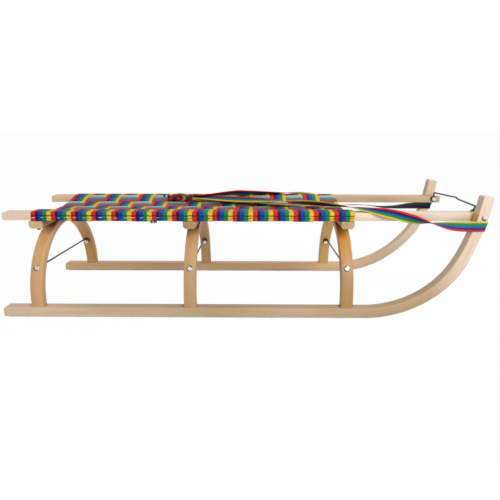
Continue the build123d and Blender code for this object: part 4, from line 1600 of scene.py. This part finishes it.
LEFT_BRANCH = StrapRoute(
    name="strap_branch_left",
    node="pull_strap_left",
    points=(
        (0.5098, 0.1371, 0.2079), (0.4838, 0.1371, 0.2079), (0.4585, 0.1293, 0.2077),
        (0.4253, 0.1112, 0.2087), (0.3867, 0.0834, 0.2137), (0.3480, 0.0500, 0.2227),
        (0.3093, 0.0195, 0.2312), (0.2651, -0.0028, 0.2342), (0.2154, -0.0028, 0.2327),
        (0.1602, 0.0083, 0.2312), (0.0994, 0.0250, 0.2317), (0.0387, 0.0417, 0.2342),
        (-0.0166, 0.0528, 0.2372), (-0.0663, 0.0584, 0.2392), (-0.1120, 0.0637, 0.2389),
        (-0.1357, 0.0670, 0.2389),
    ),
    leans=(180, 178, 162, 134, 116, 94, 96, 99, 95, 92, 90, 87, 84, 80, 78, 77),
    far_end="knot",
    squeeze=(0.74, 0.64, 0.60, 0.88),
)
FREE_END = StrapRoute(
    name="strap_free_end",
    node="pull_strap_tail",
    points=(
        (-0.1360, 0.0650, 0.2477), (-0.1123, 0.0617, 0.2477), (-0.0552, 0.0792, 0.2502),
        (-0.0166, 0.0959, 0.2502), (0.0276, 0.1112, 0.2467), (0.0663, 0.1209, 0.2457),
        (0.1083, 0.1307, 0.2445), (0.1458, 0.1390, 0.2437), (0.1812, 0.1473, 0.2367),
        (0.2099, 0.1515, 0.2262), (0.2342, 0.1529, 0.2197),
    ),
    leans=(437, 437, 418, 406, 410, 422, 436, 452, 484, 520, 540),
    far_end="bare",
)


@dataclass(frozen=True)
class Wrap:
    """One turn of webbing round the knot.

    Attributes:
        name: The piece's name.
        place: Distance of its middle from the knot's front face.
        across: Half of its size across the knot.
        height: Half of its size through the knot.
        turn: How far it turns about the upright axis, in degrees.
        lean: How far it leans along the knot, in degrees.
        width: Width of the webbing in this turn.
        red_side: Minus one where its red edge lies to the rear.
        weave_side: Which part of the stripes shows on the folded webbing.
    """

    name: str
    place: float
    across: float
    height: float
    turn: float
    lean: float
    width: float
    red_side: float
    weave_side: float


@dataclass
class PullStrap:
    """The webbing strap: horn loops, two branches, the knot and the free end."""

    sizes: SledSizes
    finishes: Finishes
    trees: ShapeTrees
    runners: Runners
    width: float = 24.0 * MM
    thickness: float = 1.6 * MM
    loop_widths: tuple[float, float] = (22.0 * MM, 18.0 * MM)
    loop_height: float = 211.4 * MM
    loop_tilt: float = 14.0
    loop_gap: float = 0.7 * MM
    loop_corner: float = 3.4 * MM
    tab_length: float = 24.0 * MM
    loop_step: float = 3.0 * MM
    loop_lap: float = 3.0 * MM
    tab_rise: float = 1.15
    tab_start: float = 2.0 * MM
    tab_twist: float = 8.0 * MM
    squeeze_places: tuple[float, ...] = (0.0, 1.5, 4.0, 6.0)
    knot_turn: float = 8.0
    knot_roll: float = 13.0
    knot_length: float = 58.0 * MM
    knot_drop: float = 4.4 * MM
    wrap_steps: int = 44
    wrap_roundness: float = 0.8
    wrap_spiral: float = 2.2 * MM
    core_count: int = 3
    core_steps: int = 40
    core_layer: float = 2.2 * MM
    core_sway: float = 5.0 * MM
    core_width: float = 17.0 * MM
    routes: tuple[StrapRoute, ...] = (RIGHT_BRANCH, LEFT_BRANCH, FREE_END)
    wraps: tuple[Wrap, ...] = (
        Wrap("knot_turn_rear", 63.5 * MM, 12.0 * MM, 4.0 * MM, 30.0, -34.0, 11.0 * MM, -1.0, -6.0 * MM),
        Wrap("knot_turn_low", 54.0 * MM, 13.5 * MM, 5.2 * MM, -22.0, -42.0, 13.0 * MM, -1.0, -8.0 * MM),
        Wrap("knot_turn_high", 47.0 * MM, 13.0 * MM, 4.8 * MM, 26.0, 18.0, 12.0 * MM, 1.0, -9.0 * MM),
        Wrap("knot_turn_front", 28.0 * MM, 12.5 * MM, 5.0 * MM, 34.0, -44.0, 14.0 * MM, 1.0, 6.0 * MM),
    )

    def strip(self, name: str, line: Sequence[Vector], wides: Sequence[Vector], width: float,
              start: float = 0.0, squeeze: Sequence[float] | None = None, side: float = 0.0) -> Object:
        """A flat band of the strap along a line; its arguments are those of Band.along."""
        finish = self.finishes.knot_web if name.startswith("knot") else self.finishes.strap_web
        band = Band(width, self.thickness, finish)
        return band.along(name, self.trees.band, line, wides, start, squeeze, side)

    def build_run(self, route: StrapRoute) -> tuple[Object, list[Vector]]:
        """A flat band that follows the route's smooth line, and the points of that line."""
        line = smooth_line(route.name, [Vector(point) for point in route.points])
        spans = len(route.points) - 2
        knots = [0.0, *[index + 0.5 for index in range(spans)], float(spans)]
        reached = [spans * index / (len(line) - 1) for index in range(len(line))]
        wides = []
        for index, share in enumerate(reached):
            lean = math.radians(between(knots, route.leans, share))
            tangent = direction(line, index)
            up = (Vector((0, 0, 1)) - tangent * tangent.z).normalized()
            red_edge = up * math.cos(lean) + tangent.cross(up) * math.sin(lean)
            wides.append(-red_edge)
        narrow = [between(self.squeeze_places, route.squeeze, share) for share in reached]
        return self.strip(route.name, line, wides, self.width, 0.0, narrow), line

    def horn_at(self, height: float) -> tuple[float, float]:
        """X and slope of a horn's middle line at this height."""
        low, high = self.runners.sole_length, self.runners.length()
        for _ in range(40):
            middle = (low + high) / 2
            below = self.runners.path(middle, self.runners.depth)[1] < height
            low, high = (middle, high) if below else (low, middle)
        x, _, slope = self.runners.path(low, self.runners.depth)
        return x, slope

    def build_loop(self, side: Side) -> Object:
        """The webbing round one horn, with the tab that is sewn to the strap."""
        x, slope = self.horn_at(self.loop_height)
        y = side.value * (self.runners.middle - self.runners.horn_lean)
        clear = self.loop_gap + self.thickness / 2
        reach_x = self.runners.height / 2 / math.sin(slope) + clear
        reach_y = self.runners.width / 2 + clear
        tab = self.thickness * self.tab_rise - reach_y
        corners = [
            (self.routes[0].points[0][0] - x - self.loop_lap, -reach_y),
            (reach_x, -reach_y),
            (reach_x, reach_y),
            (-reach_x, reach_y),
            (-reach_x, tab),
            (-reach_x - self.tab_length, tab),
        ]
        line, wides = [], []
        climb = math.tan(math.radians(self.loop_tilt))
        for u, v in dense(round_corners(corners, self.loop_corner, 5), self.loop_step):
            rise = side.value * v * climb
            line.append(Vector((x + u + rise / math.tan(slope), y + v, self.loop_height + rise)))
            hug = clamped(1.0 - (-reach_x - self.tab_start - u) / self.tab_twist)
            wides.append(Vector((hug * math.cos(slope), 0, math.sin(slope))))
        width = self.loop_widths[0] if side is Side.RIGHT else self.loop_widths[1]
        return self.strip(f"strap_loop_web_{side.label}", line, wides, width)

    def knot_frame(self) -> tuple[Vector, Vector, Vector, Vector]:
        """The knot's front middle and its backward, across and up directions."""
        turn, roll = math.radians(self.knot_turn), math.radians(self.knot_roll)
        back = Vector((-math.cos(turn), math.sin(turn), 0))
        across = Vector((math.sin(turn) * math.cos(roll), math.cos(turn) * math.cos(roll), math.sin(roll)))
        up = across.cross(back)
        return Vector(self.routes[0].points[-1]) - up * self.knot_drop, back, across, up

    def build_wrap(self, wrap: Wrap) -> Object:
        """One turn of webbing round the knot."""
        origin, back, across, up = self.knot_frame()
        turn, lean = math.radians(wrap.turn), math.radians(wrap.lean)
        line, wides = [], []
        for step in range(self.wrap_steps + 3):
            share = step / self.wrap_steps
            level, upward = math.cos(math.tau * share), math.sin(math.tau * share)
            side_way = wrap.across * math.copysign(abs(level) ** self.wrap_roundness, level)
            rise = wrap.height * math.copysign(abs(upward) ** self.wrap_roundness, upward)
            spiral = self.wrap_spiral * (share - 0.5)
            along = wrap.place + side_way * math.tan(turn) + rise * math.tan(lean) + spiral
            line.append(origin + back * along + across * side_way + up * rise)
            wides.append((back + across * 0.15 * upward) * wrap.red_side)
        return self.strip(wrap.name, line, wides, wrap.width, wrap.place * 7, None, wrap.weave_side)

    def build_core(self, index: int) -> Object:
        """One of the straps that run through the knot and fold back at its rear."""
        origin, back, across, up = self.knot_frame()
        layer, sway = (index - 1) * self.core_layer, (index - 1) * self.core_sway
        line, wides = [], []
        for step in range(self.core_steps + 1):
            share = step / self.core_steps
            along = -2 * MM + (self.knot_length - 6 * MM) * math.sin(share * 2.5)
            ramp = self.knot_drop * max(0.0, 1.0 - share * 6)
            rise = layer + ramp + 1.5 * MM * share * (1 if index != 0 else -1)
            swing = sway * math.sin(share * math.pi) + 3 * MM * math.sin(share * 7 + index)
            line.append(origin + back * along + across * swing + up * rise)
            roll = math.radians(24 * share * (index - 1) + 9 * math.sin(share * 9))
            wides.append(across * math.cos(roll) + up * math.sin(roll))
        width = self.core_width + index * 1.5 * MM
        return self.strip(f"knot_core_{index + 1}", line, wides, width, index * 0.3)

    def make(self) -> None:
        loops = {side: self.build_loop(side) for side in Side}
        turns = [self.build_wrap(wrap) for wrap in self.wraps]
        turns += [self.build_core(index) for index in range(self.core_count)]
        for side, loop in loops.items():
            present(loop, self.finishes.strap_web, [f"strap_loop_{side.label}"])
        for turn in turns:
            present(turn, self.finishes.knot_web, ["strap_knot"])
        with_runs = {
            "pull_strap_right": [loops[Side.RIGHT], *turns],
            "pull_strap_left": [loops[Side.LEFT]],
            "pull_strap_tail": [],
        }
        for route in self.routes:
            piece, line = self.build_run(route)
            present(piece, self.finishes.strap_web, [route.node])
            length = line_length(line)
            LOG.info("%s: %.0f mm long", route.name, length / MM)
            tuple(line[0])
            [tuple(point) for point in line]
            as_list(with_runs[route.node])


def smooth_line(name: str, points: Sequence[Vector]) -> list[Vector]:
    """Closely spaced points of the NURBS line through a route's control points."""
    curve = bpy.data.curves.new(name + "_line", "CURVE")
    curve.dimensions = "3D"
    curve.resolution_u = 12
    spline = curve.splines.new("NURBS")
    spline.points.add(len(points) - 1)
    for control, point in zip(spline.points, points):
        control.co = (*point, 1.0)
    spline.order_u = 3
    spline.use_endpoint_u = True
    mesh = evaluated_mesh(linked(name + "_line", curve))
    line = [vertex.co.copy() for vertex in mesh.vertices]
    bpy.data.meshes.remove(mesh)
    bpy.data.curves.remove(curve)
    return line


# ---------------------------------------------------------------- small parts
@dataclass
class SmallParts:
    """What repeats on the sled: dark discs behind the bolt heads as painted dark reflection and shade, shoe
    screws and loose thread ends.
    """

    sizes: SledSizes
    finishes: Finishes
    trees: ShapeTrees
    arches: Arches
    runners: Runners
    bolt_angles: tuple[float, float] = (27.8, 25.8)
    washer_radius: float = 6.5 * MM
    washer_shift: float = 1.7 * MM
    shoe_screws: tuple[float, ...] = (30.0, 235.0, 440.0, 645.0, 820.0)
    screw_radius: float = 3.6 * MM
    screw_rise: float = 0.04 * MM
    frayed_end: Point3 = (-0.1985, -0.1400, 0.2205)
    frayed_count: int = 26
    knot_end: Point3 = (-0.2165, 0.0700, 0.2425)
    knot_count: int = 12
    thread_size: tuple[float, float] = (7.0 * MM, 0.5 * MM)

    def washer_place(self, bolt: Vector, out: Vector) -> PartPlace:
        """The place of a dark disc of painted reflection and shade, which lies lower and further to the rear
        than its bolt.
        """
        down = Vector((-0.7, 0.0, -0.7))
        drop = (down - out * down.dot(out)).normalized() * self.washer_shift
        return bolt + drop, Vector((1.0, 0.0, 0.0)), out

    def washers(self) -> Object:
        """A thin dark disc behind the head of each leg bolt and horn bolt, set low to the rear so that a
        painted dark crescent of reflection and shade shows.
        """
        places = []
        for side, degrees in zip(Side, self.bolt_angles):
            angle = math.radians(degrees)
            out = Vector((0.0, side.value * math.cos(angle), math.sin(angle)))
            centre = Vector((0.0, 0.0, self.arches.centre_height)) + out * self.arches.outer_radius
            for name in self.arches.places:
                places.append(self.washer_place(Vector((self.arches.middle_x(name), 0.0, 0.0)) + centre, out))
            low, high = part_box(f"horn_bolt_{side.label}")
            face = side.value * (self.sizes.half_width - self.runners.horn_lean)
            bolt = Vector(((low.x + high.x) / 2, face, (low.z + high.z) / 2))
            places.append(self.washer_place(bolt, Vector((0.0, float(side.value), 0.0))))
        part = disc_part(self.washer_radius, 0.5 * MM, 0.25 * MM, 20)
        return self.trees.place_row("bolt_washers", part, places, self.finishes.wire)

    def shoe_heads(self) -> Object:
        """Countersunk screws along both shoes."""
        places = []
        for side in Side:
            y = side.value * self.runners.middle
            for number, distance in enumerate(self.shoe_screws):
                turn = 0.7 * number + side.value
                along = Vector((math.cos(turn), math.sin(turn), 0.0))
                point = Vector((self.sizes.rear + distance * MM, y, self.screw_rise))
                places.append((point, along, Vector((0.0, 0.0, -1.0))))
        part = disc_part(self.screw_radius, 0.06 * MM, -0.02 * MM, 16)
        return self.trees.place_row("shoe_screws", part, places, self.finishes.zinc)

    def threads(self) -> Object:
        """The frayed end of a band under the right rail, and thread ends at the knot."""
        places = []
        for number in range(self.frayed_count):
            swing = math.sin(number * 2.7)
            point = Vector((6.2 * MM * swing, 1.2 * MM * math.cos(number), -1.4 * MM * (number % 3)))
            along = Vector((math.cos(number * 1.9), 0.2 * swing, -0.75 - 0.4 * math.sin(number * 1.3)))
            outward = Vector((0.3 * swing, -1.0, 0.1)).normalized()
            places.append((Vector(self.frayed_end) + point, along.normalized(), outward))
        for number in range(self.knot_count):
            point = Vector((1.4 * MM * (number % 3), 0.0, 1.2 * MM * (number % 4)))
            along = Vector((math.cos(number * 2.1), 0.3, 0.8 * math.sin(number * 2.1)))
            outward = Vector((0.0, -1.0, 0.3)).normalized()
            places.append((Vector(self.knot_end) + point, along.normalized(), outward))
        part = thread_part(*self.thread_size)
        return self.trees.place_row("loose_threads", part, places, self.finishes.dark_thread, (0.7, 1.3))

    def make(self) -> None:
        """Builds and dresses the rows."""
        # Dark discs: a painted crescent of reflection and shade at each bolt head.
        present(self.washers(), self.finishes.wire)
        present(self.shoe_heads(), self.finishes.zinc)
        present(self.threads(), self.finishes.dark_thread)


def dress_hardware(finishes: Finishes) -> None:
    """Gives the CAD's bolts, nuts, screws and rods their finishes."""
    dark = ("front_brace", "tie_rod", "rail_screws")
    for node in sorted(bpy.data.objects.keys()):
        piece = bpy.data.objects[node]
        if "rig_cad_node" not in piece or piece.hide_render:
            continue
        finish = finishes.wire if node.startswith(dark) else finishes.zinc
        piece.data.materials.clear()
        piece.data.materials.append(finish.material)


# ---------------------------------------------------------------- studio
@dataclass
class Studio:
    """Floor, soft light, white surroundings and the camera."""

    lens: float = 30.535
    sensor: float = 36.0
    camera_place: Point3 = (0.0294, -1.0814, 0.425)
    tilt: float = 73.877
    turn: float = 0.556
    floor_size: float = 60.0
    aim: Point3 = (0.1, 0.0, 0.15)
    ambient: float = 0.56
    floor_white: float = 0.955

    def add_camera(self) -> None:
        """Places the camera in front of the sled's right side."""
        data = bpy.data.cameras.new("camera")
        data.lens = self.lens
        data.sensor_width = self.sensor
        camera = linked("camera", data)
        camera.location = self.camera_place
        camera.rotation_euler = (math.radians(self.tilt), 0.0, math.radians(self.turn))
        bpy.context.scene.camera = camera

    def add_lamp(self, name: str, power: float, size: float, place: Point3) -> None:
        """Adds a soft square lamp of so many watts that faces the sled."""
        data = bpy.data.lights.new(name, "AREA")
        data.energy = power
        data.size = size
        lamp = linked(name, data)
        lamp.location = place
        lamp.rotation_euler = (Vector(place) - Vector(self.aim)).to_track_quat("Z", "Y").to_euler()

    def add_world(self) -> None:
        """Even light from all round, seen as plain white."""
        world = bpy.data.worlds.new("studio")
        world.use_nodes = True
        bpy.context.scene.world = world
        nodes = NodeTree(world.node_tree)
        strength = nodes.span(nodes.seen(), 0.0, 1.0, self.ambient, 1.0)
        values = {"Color": (1.0, 1.0, 1.0, 1.0), "Strength": strength}
        nodes.fill(world.node_tree.nodes["Background"], values)

    def add_floor(self) -> None:
        """A large pale floor at the sled's soles, which looks almost plain white."""
        half = self.floor_size / 2
        corners = [(-half, -half, 0.0), (half, -half, 0.0), (half, half, 0.0), (-half, half, 0.0)]
        floor = linked("floor", new_mesh("floor", corners, [], [(0, 1, 2, 3)]))
        material = bpy.data.materials.new("floor_paper")
        material.use_nodes = True
        nodes = NodeTree(material.node_tree)
        shader = material.node_tree.nodes["Principled BSDF"]
        speckle = nodes.span(nodes.noise(nodes.place(), 40.0, 2.0), 0.3, 0.7)
        paper = nodes.mix_colour(speckle, (0.86, 0.86, 0.86), (0.84, 0.84, 0.84))
        nodes.fill(shader, {"Base Color": paper, "Roughness": 0.9, "Specular IOR Level": 0.0})
        white = nodes.add("ShaderNodeEmission", {"Color": (1.0, 1.0, 1.0, 1.0), "Strength": 1.0})
        share = nodes.times(nodes.seen(), self.floor_white)
        blend = nodes.add("ShaderNodeMixShader", {0: share, 1: shader.outputs[0], 2: white.outputs[0]})
        nodes.fill(material.node_tree.nodes["Material Output"], {"Surface": blend.outputs[0]})
        floor.data.materials.append(material)

    def make(self) -> None:
        """Sets up the whole studio."""
        bpy.context.scene.view_settings.view_transform = "Standard"
        self.add_camera()
        self.add_world()
        self.add_lamp("key", 26.0, 0.9, (0.75, -1.55, 1.3))
        self.add_lamp("fill", 4.0, 1.2, (1.1, 0.9, 1.4))
        self.add_floor()


def main() -> None:
    """Builds the sled's looks in order."""
    logging.basicConfig(level=logging.INFO, format="%(message)s")
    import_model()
    sizes = SledSizes.read()
    finishes = Finishes()
    Studio().make()
    runners = Runners(sizes, finishes)
    runners.make()
    SeatRails(sizes, finishes).make()
    arches = Arches(sizes, finishes)
    arches.make()
    trees = ShapeTrees()
    WovenSeat(sizes, finishes, trees).make()
    PullStrap(sizes, finishes, trees, runners).make()
    SmallParts(sizes, finishes, trees, arches, runners).make()
    dress_hardware(finishes)


if __name__ == "__main__":
    main()
